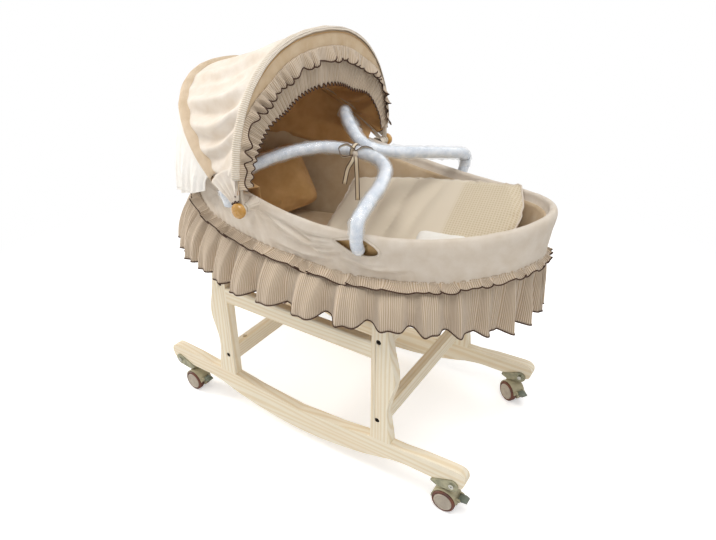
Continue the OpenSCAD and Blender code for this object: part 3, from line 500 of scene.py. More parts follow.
def rumple(points, size, seed, waves=8):
    # Gentle unevenness of handled cloth: a few crossing waves of about that size in mm
    rng = np.random.default_rng(seed)
    total = np.zeros(points.shape[:-1])
    for _ in range(waves):
        way = rng.normal(size=3)
        way /= np.linalg.norm(way)
        total += np.sin(points @ way * 2 * math.pi / (size * rng.uniform(0.7, 1.7))
                        + rng.uniform(0, 2 * math.pi))
    return total / math.sqrt(waves)


# %% [markdown]
# A grid of points becomes a cloth: rows run down the cloth, columns run along it. The UV map
# holds the flat cloth's own lengths in metres, measured along the row that has the most
# cloth in it, so that gathers squeeze the stripes as they do on the real skirt.

# %% From grid to cloth
def shade_smooth(mesh):
    mesh.polygons.foreach_set("use_smooth", [True] * len(mesh.polygons))


def coords(made):
    # Vertices of a piece in metres, one row each
    flat = np.zeros(len(made.data.vertices) * 3)
    made.data.vertices.foreach_get("co", flat)
    return flat.reshape(-1, 3)


def rework(mesh, task):
    # Lets a task change the mesh's vertices and faces
    work = bmesh.new()
    work.from_mesh(mesh)
    task(work)
    work.to_mesh(mesh)
    work.free()


def face_outwards(work):
    bmesh.ops.recalc_face_normals(work, faces=work.faces)


def thicken(made, thick):
    # Thickness in mm, added on the side that the faces turn away from
    shell = made.modifiers.new("thickness", "SOLIDIFY")
    shell.thickness = thick * 0.001
    shell.offset = -1
    return settle(made)


def outward(points, wrap):
    # Unit normals of a grid whose rows go down and whose columns go round
    down = np.gradient(points, axis=0)
    if wrap:
        along = (np.roll(points, -1, 1) - np.roll(points, 1, 1)) / 2
    else:
        along = np.gradient(points, axis=1)
    return unit(np.cross(down, along))


def run_of(line, wrap):
    steps = np.linalg.norm(np.diff(line, axis=0), axis=1)
    if wrap:
        steps = np.append(steps, np.linalg.norm(line[0] - line[-1]))
    return np.concatenate([[0], np.cumsum(steps)])


def cloth(name, points, material, wrap=False, flip=False, thick=0.0, long_row=-1, turn=False):
    rows, cols = points.shape[:2]
    last = cols if wrap else cols - 1
    mesh = bpy.data.meshes.new(name)
    quads = []
    for i in range(rows - 1):
        for j in range(last):
            k = (j + 1) % cols
            q = (i * cols + j, (i + 1) * cols + j, (i + 1) * cols + k, i * cols + k)
            quads.append(q[::-1] if flip else q)
    mesh.from_pydata((points.reshape(-1, 3) * 0.001).tolist(), [], quads)
    along = run_of(points[long_row], wrap) * 0.001
    across = np.concatenate([[0], np.cumsum(np.linalg.norm(
        np.diff(points, axis=0), axis=2).mean(axis=1))]) * 0.001
    uv = mesh.uv_layers.new(name="cloth")
    flat = []
    for i in range(rows - 1):
        for j in range(last):
            q = [(along[j], across[i]), (along[j], across[i + 1]),
                 (along[j + 1], across[i + 1]), (along[j + 1], across[i])]
            flat += q[::-1] if flip else q
    uv.data.foreach_set("uv", np.array(flat)[:, ::-1 if turn else 1].ravel())
    shade_smooth(mesh)
    mesh.materials.append(material)
    made = new_object(name, mesh)
    return thicken(made, thick) if thick else made


def settle(made):
    # Keeps what the modifiers made and takes the modifiers off
    bpy.context.view_layer.update()
    live = made.evaluated_get(bpy.context.evaluated_depsgraph_get())
    mesh = bpy.data.meshes.new_from_object(live)
    mesh.name = made.name
    made.modifiers.clear()
    made.data = mesh
    return made


# %% [markdown]
# ## Threads and stitches with Geometry Nodes
# Edging, piping and seams repeat along a line, so two node trees make them all. One sweeps a
# round thread along a line and notes how far along it each point is. The other lays short
# stitches a set distance apart, each turned along the line.

# %% Node tree for swept threads
def sockets_of(tree, wanted):
    made = {}
    tree.interface.new_socket("Line", in_out="INPUT", socket_type="NodeSocketGeometry")
    for label, kind in wanted:
        made[label] = tree.interface.new_socket(label, in_out="INPUT", socket_type=kind)
    tree.interface.new_socket("Piece", in_out="OUTPUT", socket_type="NodeSocketGeometry")
    return {label: s.identifier for label, s in made.items()}


def begin_line(tree):
    given = add(tree, "NodeGroupInput").outputs
    return given, add(tree, "GeometryNodeMeshToCurve", {"Mesh": given["Line"]}).outputs[0]


def end_piece(tree, piece, finish):
    real = add(tree, "GeometryNodeRealizeInstances", {"Geometry": piece.outputs[0]})
    finished = add(tree, "GeometryNodeSetMaterial",
                   {"Geometry": real.outputs[0], "Material": finish})
    add(tree, "NodeGroupOutput", {"Piece": finished.outputs[0]})


thread_tree = bpy.data.node_groups.new("swept_thread", "GeometryNodeTree")
thread_keys = sockets_of(thread_tree, [("Radius", "NodeSocketFloat"),
                                       ("Sides", "NodeSocketInt"),
                                       ("Finish", "NodeSocketMaterial")])
given, curve = begin_line(thread_tree)
length = add(thread_tree, "GeometryNodeSplineParameter")
noted = add(thread_tree, "GeometryNodeStoreNamedAttribute",
            {"Geometry": curve, "Name": "along", "Value": length.outputs["Length"]},
            data_type="FLOAT", domain="POINT")
ring = add(thread_tree, "GeometryNodeCurvePrimitiveCircle",
           {"Radius": given["Radius"], "Resolution": given["Sides"]})
swept = add(thread_tree, "GeometryNodeCurveToMesh",
            {"Curve": noted.outputs[0], "Profile Curve": ring.outputs[0],
             "Fill Caps": True})
rounded = add(thread_tree, "GeometryNodeSetShadeSmooth", {"Geometry": swept.outputs[0]})
end_piece(thread_tree, rounded, given["Finish"])

# %% Node tree for rows of stitches
stitch_tree = bpy.data.node_groups.new("stitch_row", "GeometryNodeTree")
stitch_keys = sockets_of(stitch_tree, [("Spacing", "NodeSocketFloat"),
                                       ("Stitch", "NodeSocketFloat"),
                                       ("Radius", "NodeSocketFloat"),
                                       ("Finish", "NodeSocketMaterial")])
given, curve = begin_line(stitch_tree)
marks = add(stitch_tree, "GeometryNodeResampleCurve",
            {"Curve": curve, "Length": given["Spacing"]}, mode="LENGTH")
thread = add(stitch_tree, "GeometryNodeMeshCylinder",
             {"Vertices": 6, "Radius": given["Radius"], "Depth": given["Stitch"]})
heading = add(stitch_tree, "GeometryNodeInputTangent")
turned = add(stitch_tree, "FunctionNodeAlignRotationToVector",
             {"Vector": heading.outputs[0]}, axis="Z")
laid = add(stitch_tree, "GeometryNodeInstanceOnPoints",
           {"Points": marks.outputs[0], "Instance": thread.outputs[0],
            "Rotation": turned.outputs[0]})
end_piece(stitch_tree, laid, given["Finish"])


# %% Lines that feed the trees
def line_object(name, lines, closed):
    points, edges = [], []
    for line in lines:
        first = len(points)
        points += (np.asarray(line) * 0.001).tolist()
        edges += [(first + i, first + i + 1) for i in range(len(line) - 1)]
        if closed:
            edges.append((first + len(line) - 1, first))
    mesh = bpy.data.meshes.new(name)
    mesh.from_pydata(points, edges, [])
    return new_object(name, mesh)


def grow(made, tree, keys, values):
    nodes = made.modifiers.new(tree.name, "NODES")
    nodes.node_group = tree
    for label, value in values.items():
        nodes[keys[label]] = value
    return settle(made)


def thread_piece(name, lines, radius, material, closed=False, sides=8):
    made = line_object(name, lines, closed)
    return grow(made, thread_tree, thread_keys,
                {"Radius": radius * 0.001, "Sides": sides, "Finish": material})


def stitches(name, lines, material, spacing=5.0, stitch=3.0, radius=0.45, closed=False):
    made = line_object(name, lines, closed)
    return grow(made, stitch_tree, stitch_keys,
                {"Spacing": spacing * 0.001, "Stitch": stitch * 0.001,
                 "Radius": radius * 0.001, "Finish": material})


# %% [markdown]
# ## The cloth cover
# The cover is one cotton tube pulled over the rim. It rolls over the wicker, hangs a hand's
# width down outside and a little inside, and has four long slots for the handles' feet.
# Pulls run from the slots and from the hood's knobs, where the cloth is held. The grid is cut
# along each slot's outline by moving the nearest points onto it and dropping what is inside.

# %% Cover with its slots
HANDLE_FEET = (-145.0, 135.0)
HANDLE_Y, HANDLE_Z = 207.304, 522.536
HANDLE_TILT, HANDLE_YAW = math.radians(5.305), math.radians(2.25)
HOOD_X, HOOD_H = -80.0, 552.0
turn_y = np.array([[math.cos(HANDLE_TILT), 0, math.sin(HANDLE_TILT)], [0, 1, 0],
                   [-math.sin(HANDLE_TILT), 0, math.cos(HANDLE_TILT)]])
turn_z = np.array([[math.cos(HANDLE_YAW), -math.sin(HANDLE_YAW), 0],
                   [math.sin(HANDLE_YAW), math.cos(HANDLE_YAW), 0], [0, 0, 1]])
HANDLE_TURN = turn_z @ turn_y


def to_handle(points, side):
    moved = points - np.array([0, side * HANDLE_Y, HANDLE_Z])
    moved = moved * np.array([1, -1 if side > 0 else 1, 1])
    return moved @ HANDLE_TURN


def from_handle(points, side):
    moved = np.asarray(points, float) @ HANDLE_TURN.T
    moved = moved * np.array([1, -1 if side > 0 else 1, 1])
    return moved + np.array([0, side * HANDLE_Y, HANDLE_Z])


ROWS, COLS = 64, 520
profile = smooth([[-18.2, 19], [-16.9, 5], [-13.5, 0.6], [-9, -0.4], [-5.6, 1.2],
                  [-3.4, 5], [-2.2, 12], [-3.6, 24], [-6.3, 38], [-9.0, 58], [-12.2, 85.5]],
                 12)
steps = run_of(profile, False)
even = np.linspace(0, steps[-1], ROWS)
profile = np.column_stack([np.interp(even, steps, profile[:, k]) for k in (0, 1)])
a = circle(COLS)
cover_points = np.zeros((ROWS, COLS, 3))
# Down to EVEN_DROP mm the cloth follows the rim, and below it stretches down to the seam
EVEN_DROP = 38
for i, (off, drop) in enumerate(profile):
    inner = 1.0 if i < ROWS * 0.2 else 0.0
    low = drop if drop < EVEN_DROP else EVEN_DROP + (
        (drop - EVEN_DROP) * (seam_drop(a) - EVEN_DROP) / (COVER_DROP - EVEN_DROP))
    x, y = plan(a, off + inner * wall_in(a, rim_at(a) - drop) * ease((drop - 2) / 17))
    cover_points[i] = np.stack([x, y, rim_at(a) - low], axis=1)
outside = ease((np.arange(ROWS) / ROWS - 0.28) / 0.2)[:, None]


def pull(points, centre, reach, count, depth, seed):
    # Small folds that fan out from a place where the cloth is held
    d = points - np.array(centre)
    r = np.linalg.norm(d, axis=2)
    angle = np.arctan2(d[..., 2], d[..., 0])
    rng = np.random.default_rng(seed)
    fan = np.sin(count * angle + rng.uniform(0, 6) + 0.8 * np.sin(3 * angle + 1))
    return depth * np.maximum(fan, -0.3) * np.exp(-(r / reach) ** 2) * ease(r / 28)


def crease(points, path, side, width, depth):
    # A drag line: a rounded ridge along the path with a shallow valley below it
    best = np.full(points.shape[:2], 1e9)
    below = np.zeros(points.shape[:2])
    fade = np.zeros(points.shape[:2])
    flat = points[..., [0, 2]]
    n = len(path) - 1
    for k in range(n):
        p, q = np.array(path[k], float), np.array(path[k + 1], float)
        along = q - p
        t = np.clip(((flat - p) @ along) / (along @ along), 0, 1)
        gap = flat - (p + t[..., None] * along)
        dist = np.hypot(gap[..., 0], gap[..., 1])
        closer = dist < best
        best = np.where(closer, dist, best)
        below = np.where(closer, -np.sign(gap[..., 1]) * dist, below)
        fade = np.where(closer, (k + t) / n, fade)
    taper = np.sin(math.pi * np.clip(fade * 0.92 + 0.04, 0, 1)) ** 0.5
    shape = np.exp(-(best / width) ** 2) - 0.7 * np.exp(-((below - 1.5 * width) / width) ** 2)
    return depth * shape * taper * (points[..., 1] * side > 0)


# Drag lines round the forward slot: (x, z) along the cloth, half width and depth in mm
DRAG_LINES = [
    ([(104, 527), (38, 525), (-17, 541), (-60, 549)], 5.0, 5.78),
    ([(84, 507), (34, 502), (-5, 517), (-46, 536)], 5.5, 7.14),
    ([(96, 498), (59, 490), (23, 499), (-10, 507)], 5.0, 5.78),
    ([(84, 515), (40, 512), (8, 527), (-30, 541)], 4.0, 4.42),
    ([(98, 488), (131, 477), (167, 473), (205, 478)], 5.0, 4.76),
    ([(112, 487), (140, 482), (168, 483)], 3.5, 3.4),
    ([(70, 478), (20, 476), (-40, 486)], 6.0, 4.08)]

lift = rumple(cover_points, 120, 3) * outside + 0.35 * rumple(cover_points, 40, 4)
for side in (-1, 1):
    lift += outside * pull(cover_points, (HOOD_X, side * 217, 545), 60, 9, 2.4, 11)
    for foot in HANDLE_FEET:
        hub = from_handle([foot - 45, 0, 2], side)
        lift += outside * pull(cover_points, hub, 50, 10, 1.8, 12)
    for path, width, depth in DRAG_LINES:
        lift += outside * crease(cover_points, path, side, width, depth)
gathers = 0.9 * np.sin(a * 120 + 3 * np.sin(a * 7))[None, :] * ease(
    (profile[:, 1] - 66) / 17)[:, None]
cover_points += outward(cover_points, True) * (lift + gathers)[..., None]


# Outline of a slot about its handle's pivot, along and up in mm: an eye whose end on the
# head side runs out to a point
EYE = [(-50, 3), (-30, 11), (-10, 18), (4, 19), (16, 16), (27, 10), (33, 3), (32, -4),
       (24, -10), (8, -13), (-10, -12), (-26, -7)]


def closed_smooth(points, steps):
    p = np.array(points, float)
    ring = smooth(np.vstack([p[-2:], p, p[:3]]), steps)
    return ring[2 * steps:(len(p) + 2) * steps]


def outline_gap(flat, outline):
    # Signed distance of points in a plane from a closed outline, negative inside it
    best = np.full(flat.shape[:-1], 1e9)
    inside = np.zeros(flat.shape[:-1], bool)
    for p, q in zip(outline, np.roll(outline, -1, 0)):
        along = q - p
        t = np.clip(((flat - p) @ along) / (along @ along), 0, 1)
        d = flat - (p + t[..., None] * along)
        best = np.minimum(best, np.hypot(d[..., 0], d[..., 1]))
        crosses = (flat[..., 1] < p[1]) != (flat[..., 1] < q[1])
        reach = p[0] + (flat[..., 1] - p[1]) * (q[0] - p[0]) / (q[1] - p[1] + 1e-9)
        inside ^= crosses & (flat[..., 0] < reach)
    return np.where(inside, -best, best)


def slot_gap(points, side, foot):
    local = to_handle(points, side)
    far_off = ((np.abs(local[..., 0] - foot) > 60) | (np.abs(local[..., 2]) > 45)
               | (np.abs(local[..., 1]) > 60))
    gap = np.full(points.shape[:2], 99.0)
    near_by = ~far_off
    gap[near_by] = outline_gap(local[near_by][:, [0, 2]] - np.array([foot, 0]),
                               closed_smooth(EYE, 4))
    return gap


# Grid points closer than SNAP to an outline move onto it, by SNAP_STEP of a cell at most
FAR, SNAP, SNAP_STEP = 99.0, 2.6, 0.6
gap = np.full((ROWS, COLS), FAR)
for side in (-1, 1):
    for foot in HANDLE_FEET:
        here = slot_gap(cover_points, side, foot)
        here[profile[:, 1] < 4] = FAR
        here[:int(ROWS * 0.24)] = FAR
        gap = np.minimum(gap, here)
slope_i = np.gradient(gap, axis=0)
slope_j = (np.roll(gap, -1, 1) - np.roll(gap, 1, 1)) / 2
near = np.abs(gap) < SNAP
step_i = np.gradient(cover_points, axis=0)
step_j = (np.roll(cover_points, -1, 1) - np.roll(cover_points, 1, 1)) / 2
size = slope_i ** 2 + slope_j ** 2 + 1e-6
move_i = np.clip(-gap * slope_i / size, -SNAP_STEP, SNAP_STEP) * near
move_j = np.clip(-gap * slope_j / size, -SNAP_STEP, SNAP_STEP) * near
cover_points += step_i * move_i[..., None] + step_j * move_j[..., None]
gap[near] = 0.0
cover = cloth("cover_cloth", cover_points, cream_cotton, wrap=True)
inside_slot = gap.reshape(-1) < -0.5
at_edge = gap.reshape(-1) <= 0
work = bmesh.new()
work.from_mesh(cover.data)
work.verts.ensure_lookup_table()
dead = [f for f in work.faces if any(inside_slot[v.index] for v in f.verts)
        or all(at_edge[v.index] for v in f.verts)]
bmesh.ops.delete(work, geom=dead, context="FACES")
# The slots' edges, followed round; the cover's own two long edges are left out
lips = []
todo = {e for e in work.edges if e.is_boundary}
while todo:
    e = todo.pop()
    chain = [e.verts[0], e.verts[1]]
    while chain[-1] is not chain[0]:
        nxt = [x for x in chain[-1].link_edges if x in todo]
        if not nxt:
            break
        todo.discard(nxt[0])
        chain.append(nxt[0].other_vert(chain[-1]))
    if 20 < len(chain) < 320:
        lips.append(np.array([v.co * 1000 for v in chain[:-1]]))
work.to_mesh(cover.data)
work.free()
thicken(cover, 2.5)
print("cover cut with", len(lips), "slots, faces", len(cover.data.polygons))


def eased_loop(line, rounds=6):
    for _ in range(rounds):
        line = (np.roll(line, 1, 0) + 2 * line + np.roll(line, -1, 0)) / 4
    return line


binding = thread_piece("slot_bindings", [eased_loop(line) for line in lips], 1.9,
                       cream_cotton, closed=True, sides=10)
binding.data.uv_layers.new(name="cloth")
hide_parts("cover")
for made in (cover, binding):
    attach(made, "basket")

# %% [markdown]
# ## The gathered skirt
# The skirt is a long strip of corduroy gathered onto the cover's lower edge. A gathered strip
# hangs in cones that start narrow at the seam and widen to the hem. Each rises steeply on one
# side and falls away slowly on the other, because the cloth is sewn with its gathers pushed
# one way. Thirty-six folds follow a slowly changing rhythm, so that no two are alike. They
# are deep beside the basket and shallow round its foot end, and they keep clear of the legs.

# %% Skirt and its hem thread
SKIRT_COLS, FOLDS, HEM_H, HEM_LIFT = 1900, 36, 379.0, 16.0
FOLD_DEPTH, FOLD_SKEW = 38.0, 1.0
LEG_X, LEG_REACH, LEG_TOP, LEG_OUTER = (177, -217), 24, 392, 203.5


def fold_phase(a):
    return FOLDS * a + math.radians(20) * np.sin(3 * a)


def skirt_point(a, v):
    phase = fold_phase(a) + 0.5 * np.sin(2.0 * a + 1.0) * (1 - v)
    skew = FOLD_SKEW * (0.25 + 0.75 * beside(a))
    f = 0.5 + 0.5 * np.cos(phase + skew * (np.cos(phase) - 1))
    swell = 0.80 + 0.14 * np.sin(5.3 * a + 1.1) + 0.10 * np.sin(12.7 * a + 0.6)
    half = 0.16 * np.cos(2 * phase + 1.6 + 1.5 * np.sin(3 * a)) * v * (1 - 0.4 * v)
    pleat = (1.1 * np.sin(3 * phase + 2 * np.sin(7 * a)) * (1 - v) ** 1.2
             + 0.5 * np.sin(6 * phase + 3 * np.sin(5 * a)) * (1 - v) ** 3)
    valley = -16.6 + (1.6 + 34.3 * beside(a)) * (1 - (1 - v) ** 2.6) - 5 * v
    top = rim_at(a) - seam_drop(a) - 0.3
    swell *= 0.62 + 0.38 * beside(a)
    off = valley + FOLD_DEPTH * swell * (f ** 2.2 + half) * (0.20 + 0.80 * v ** 0.8) + pleat
    x, y = plan(a, off)
    hem = HEM_H - 20 * (1 - beside(a)) + HEM_LIFT * np.maximum(0, np.cos(a)) ** 40
    hem = hem - 5 * f * swell + 3.0 * np.sin(2.7 * a + 0.4)
    z = top + (hem - top) * v
    near_leg = (np.abs(x - LEG_X[0]) < LEG_REACH) | (np.abs(x - LEG_X[1]) < LEG_REACH)
    by_leg = near_leg & (z < LEG_TOP)
    y = np.where(by_leg & (np.abs(y) < LEG_OUTER), np.sign(y) * LEG_OUTER, y)
    return np.stack([x, y, z], axis=-1)


a = circle(SKIRT_COLS)
levels = np.linspace(0, 1, 21)
skirt_points = np.stack([skirt_point(a, v) for v in levels])
skirt_points += (outward(skirt_points, True) * (0.7 * rumple(skirt_points, 60, 21)
                                                * levels[:, None])[..., None])
skirt = cloth("skirt_cloth", skirt_points, stripe_cord, wrap=True, thick=1.2)
hem_line = skirt_points[-1] - np.array([0, 0, 0.4])
hem_thread = thread_piece("skirt_hem_thread", [hem_line], 1.35, overlock, closed=True)
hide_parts("skirt")
for made, name in ((skirt, "corduroy"), (hem_thread, "corduroy")):
    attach(made, "basket")

# %% [markdown]
# A second, narrow strip hides the seam. It is gathered a little below its upper edge, so a
# short crimped fringe stands over the stitching, and its free edge hangs in small uneven
# waves with the dark edging along it.

# %% Skirt heading
HEAD_COLS, HEADING_H, WAVES = 2200, 10.0, 78


def gather_phase(a):
    return WAVES * a + 2.4 * np.sin(9 * a) + 1.7 * np.sin(23 * a + 1)


def heading_point(a, v):
    phase = gather_phase(a)
    big = 0.55 + 0.45 * np.sin(31 * a + 2 * np.sin(4 * a))
    w = 0.5 + 0.5 * np.sin(phase)
    hang = np.maximum(v, 0)
    reach = -3.8 + 9.5 * beside(a)
    off = -11.2 + (reach + 11.2) * ease(hang * 0.9 + 0.05) + 7.0 * w * big * hang
    off = off + 0.6 * np.sin(150 * a + np.sin(17 * a)) * (1 - hang)
    shift = 0.020 * np.cos(phase + 0.6) * big * hang ** 1.5
    drop = seam_drop(a) - 4 + HEADING_H * v - 12.0 * (w - 0.5) * big * hang
    x, y = plan(a + shift, off)
    return np.stack([x, y, rim_at(a) - drop], axis=-1)


a = circle(HEAD_COLS)
heading_points = np.stack([heading_point(a, v) for v in np.linspace(-0.16, 1, 10)])
heading_cloth = cloth("skirt_heading_cloth", heading_points, stripe_cord, wrap=True,
                      thick=1.0)
heading_thread = thread_piece("skirt_heading_thread",
                              [heading_points[-1] - np.array([0, 0, 0.3])], 1.25, overlock,
                              closed=True)
gather_seam = stitches("skirt_gathering_stitches",
                       [heading_points[2] + 0.7 * outward(heading_points, True)[2]],
                       cream_cotton, spacing=6.0, stitch=3.4, closed=True)
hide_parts("skirt_heading")
for made in (heading_cloth, heading_thread, gather_seam):
    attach(made, "basket")

# %% [markdown]
# ## Lining and mattress
# The lining hangs inside the woven wall from the cover down to the mattress. It is slack, so
# it has broad soft folds.

# %% Lining
# Heights in mm: the lining starts under the rolled rim and ends over the base board
FLOOR_TOP, LINING_BELOW_RIM, LINING_END, LINING_OFF = 359.8, 12, 6, -18.4
a = circle(360)
v = np.linspace(0, 1, 26)[:, None]
z = (rim_at(a) - RIM_IN - LINING_BELOW_RIM) * (1 - v) + (FLOOR_TOP + LINING_END) * v
lining_points = np.stack([*plan(a, LINING_OFF + wall_in(a, z)), z], axis=-1)
sag = 2.2 * np.sin(17 * a + 1.4 * np.sin(4 * a))[None, :] * np.sin(math.pi * v) ** 0.8
sag = sag + 1.1 * rumple(lining_points, 90, 31)
lining_points += outward(lining_points, True) * (np.minimum(sag, 1.5) - 2.0)[..., None]
lining = cloth("lining_cloth", lining_points, lining_cotton, wrap=True, flip=True,
               long_row=0, thick=2.5)
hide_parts("liner")
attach(lining, "basket")


# %% [markdown]
# ## Stuffed pieces
# A stuffed piece starts as a slightly thin closed form. It is remeshed into an even net and
# blown up by the Cloth simulation with a little inner pressure, which gives the puckered
# edges and the crown of a real cushion. A point may only travel so far, so the piece keeps
# its place. Its seam is added afterwards.

# %% Blow up a stuffed form
def closed_piece(name, points, faces, material):
    # Piece from points in mm and faces that close round it
    mesh = bpy.data.meshes.new(name)
    mesh.from_pydata((points * 0.001).tolist(), [], faces)
    rework(mesh, face_outwards)
    mesh.materials.append(material)
    return new_object(name, mesh)


def closed_form(name, rings, material):
    # Closed mesh over stacked rings of points in mm
    rows, cols = rings.shape[:2]
    points = np.vstack([rings.reshape(-1, 3), rings[0].mean(axis=0), rings[-1].mean(axis=0)])
    faces = [(i * cols + j, i * cols + (j + 1) % cols, (i + 1) * cols + (j + 1) % cols,
              (i + 1) * cols + j) for i in range(rows - 1) for j in range(cols)]
    faces += [(rows * cols, (j + 1) % cols, j) for j in range(cols)]
    top = (rows - 1) * cols
    faces += [(rows * cols + 1, top + j, top + (j + 1) % cols) for j in range(cols)]
    return closed_piece(name, points, faces, material)


BLOW_STEPS = 20


def blow_up(made, voxel, cap, pressure=4.0):
    # Voxel size and the cap on each point's travel are in mm
    net = made.modifiers.new("even_net", "REMESH")
    net.mode = "VOXEL"
    net.voxel_size = voxel * 0.001
    settle(made)
    rest = coords(made)
    soft = made.modifiers.new("cloth", "CLOTH")
    soft.settings.quality = 5
    soft.settings.use_pressure = True
    soft.settings.uniform_pressure_force = pressure
    soft.settings.effector_weights.gravity = 0
    soft.settings.tension_stiffness = 12
    soft.settings.compression_stiffness = 8
    soft.settings.bending_stiffness = 0.6
    scene = bpy.context.scene
    for step in range(1, BLOW_STEPS + 1):
        scene.frame_set(step)
    settle(made)
    scene.frame_set(1)
    travel = coords(made) - rest
    far = np.linalg.norm(travel, axis=1, keepdims=True)
    travel *= np.minimum(1, cap * 0.001 / np.maximum(far, 1e-9))
    made.data.vertices.foreach_set("co", (rest + travel).ravel())
    print(made.name, "moved up to", round(float(far.max()) * 1000, 1), "mm")
    finer = made.modifiers.new("finer", "SUBSURF")
    finer.levels = finer.render_levels = 1
    settle(made)
    shade_smooth(made.data)


def snug(made, line):
    # A line in mm moved onto the nearest places of the stuffed piece
    return np.array([list(made.closest_point_on_mesh(Vector(q * 0.001))[1])
                     for q in line]) * 1000


def wrap_uv(made, u_way, v_way):
    # Flat lengths of the cloth along two directions, in metres, as the piece's UV map
    co = coords(made)
    corner = np.zeros(len(made.data.loops), int)
    made.data.loops.foreach_get("vertex_index", corner)
    flat = np.stack([co @ np.array(u_way), co @ np.array(v_way)], axis=1)
    uv = made.data.uv_layers.new(name="cloth")
    uv.data.foreach_set("uv", flat[corner].ravel())


# %% Mattress
MATTRESS_Z, MATTRESS_H, MATTRESS_IN = 364.1, 38.0, 80.04
a = circle(180)
# Share of the height and how far the side is drawn in there, in mm, from below to the top
MATTRESS_SIDE = ((0, 14), (0.12, 6), (0.3, 2.5), (0.5, 1.5), (0.75, 5), (0.9, 16),
                 (0.97, 40), (1.0, 80), (1.0, 130))
rings = np.array([np.stack([*plan(a, -MATTRESS_IN - back),
                            np.full_like(a, MATTRESS_Z + MATTRESS_H * share)], axis=1)
                  for share, back in MATTRESS_SIDE])
mattress = closed_form("mattress_pad", rings, lining_cotton)
blow_up(mattress, 9.0, 3.0)
wrap_uv(mattress, (1, 0, 0), (0, 1, 0.3))
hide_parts("mattress")
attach(mattress, "basket")

# %% [markdown]
# ## Quilt and pillows
# The quilt lies across the foot half and leans up the far wall. Its middle surface goes
# through nine given points. Its foot end is waffle cotton, the rest plain with sewn
# channels, and the two faces meet in a thin sewn edge.

# %% Quilt
QUILT_NET = np.array([
    [[-60, -112, 414], [100, -128, 414], [244, -92, 431]],
    [[-80, 20, 438], [110, 10, 465], [330, 10, 501]],
    [[-100, 142, 490], [110, 150, 527], [298, 124, 561]]], float)


def bow3(p, t):
    return p[0] * (1 - t) * (1 - 2 * t) + p[1] * 4 * t * (1 - t) + p[2] * t * (2 * t - 1)


def quilt_point(u, v):
    return bow3([bow3(row, u) for row in QUILT_NET], v)


QUILT_ROWS, QUILT_COLS, QUILT_HALF = 30, 44, 11.0
CHANNELS, CHANNELS_END, CHANNEL_DEPTH = 7, 0.68, 6.5


def quilt_face(s):
    # Upper (s 1) or lower (s -1) face as a grid of points in mm
    out = np.zeros((QUILT_ROWS + 1, QUILT_COLS + 1, 3))
    for i in range(QUILT_ROWS + 1):
        for j in range(QUILT_COLS + 1):
            u, v = j / QUILT_COLS, i / QUILT_ROWS
            d = 0.01
            n = np.cross(quilt_point(u + d, v) - quilt_point(u - d, v),
                         quilt_point(u, v + d) - quilt_point(u, v - d))
            n /= np.linalg.norm(n)
            edge = (max(0, math.sin(math.pi * u)) ** 0.35
                    * max(0, math.sin(math.pi * v)) ** 0.35)
            puff = QUILT_HALF * (0.1 + 0.9 * edge)
            if s > 0 and u < CHANNELS_END:
                wander = u + 0.02 * math.sin(5 * v + 9 * u)
                groove = abs(math.sin(math.pi * CHANNELS * wander)) ** 0.7
                puff -= (CHANNEL_DEPTH * (1 - groove) * edge
                         * min(1, (CHANNELS_END - u) * 8))
            rag = 1.6 * math.sin(9 * u + 3 * v) * math.sin(math.pi * v)
            out[i, j] = quilt_point(u, v) + (s * puff + rag) * n
    return out


top_face, low_face = quilt_face(1), quilt_face(-1)
stride = QUILT_COLS + 1
layer = (QUILT_ROWS + 1) * stride
border = ([(i, 0) for i in range(QUILT_ROWS + 1)]
          + [(QUILT_ROWS, j) for j in range(1, QUILT_COLS + 1)]
          + [(i, QUILT_COLS) for i in range(QUILT_ROWS - 1, -1, -1)]
          + [(0, j) for j in range(QUILT_COLS - 1, 0, -1)])
quads = []
for i in range(QUILT_ROWS):
    for j in range(QUILT_COLS):
        q = [i * stride + j, i * stride + j + 1, (i + 1) * stride + j + 1,
             (i + 1) * stride + j]
        quads += [q, [k + layer for k in q[::-1]]]
for (i, j), (i2, j2) in zip(border, border[1:] + border[:1]):
    p, q = i * stride + j, i2 * stride + j2
    quads.append([p, q, q + layer, p + layer])
quilt = closed_piece("quilt_pad", np.concatenate([top_face.reshape(-1, 3),
                                                  low_face.reshape(-1, 3)]),
                     quads, waffle_cotton)
blow_up(quilt, 5.0, 5.0, pressure=3.0)
wrap_uv(quilt, (0.965, 0.0, 0.26), (0.0, 0.87, 0.49))
seam = thread_piece("quilt_edge_piping",
                    [snug(quilt, [(top_face[i, j] + low_face[i, j]) / 2 for i, j in border])],
                    1.8, cream_cotton, closed=True)
seam.data.uv_layers.new(name="cloth")
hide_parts("quilt")
for made in (quilt, seam):
    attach(made, "basket")


# %% [markdown]
# Both pillows are plain cotton bags. Their corners are drawn to points and their sides pull
# in between them.

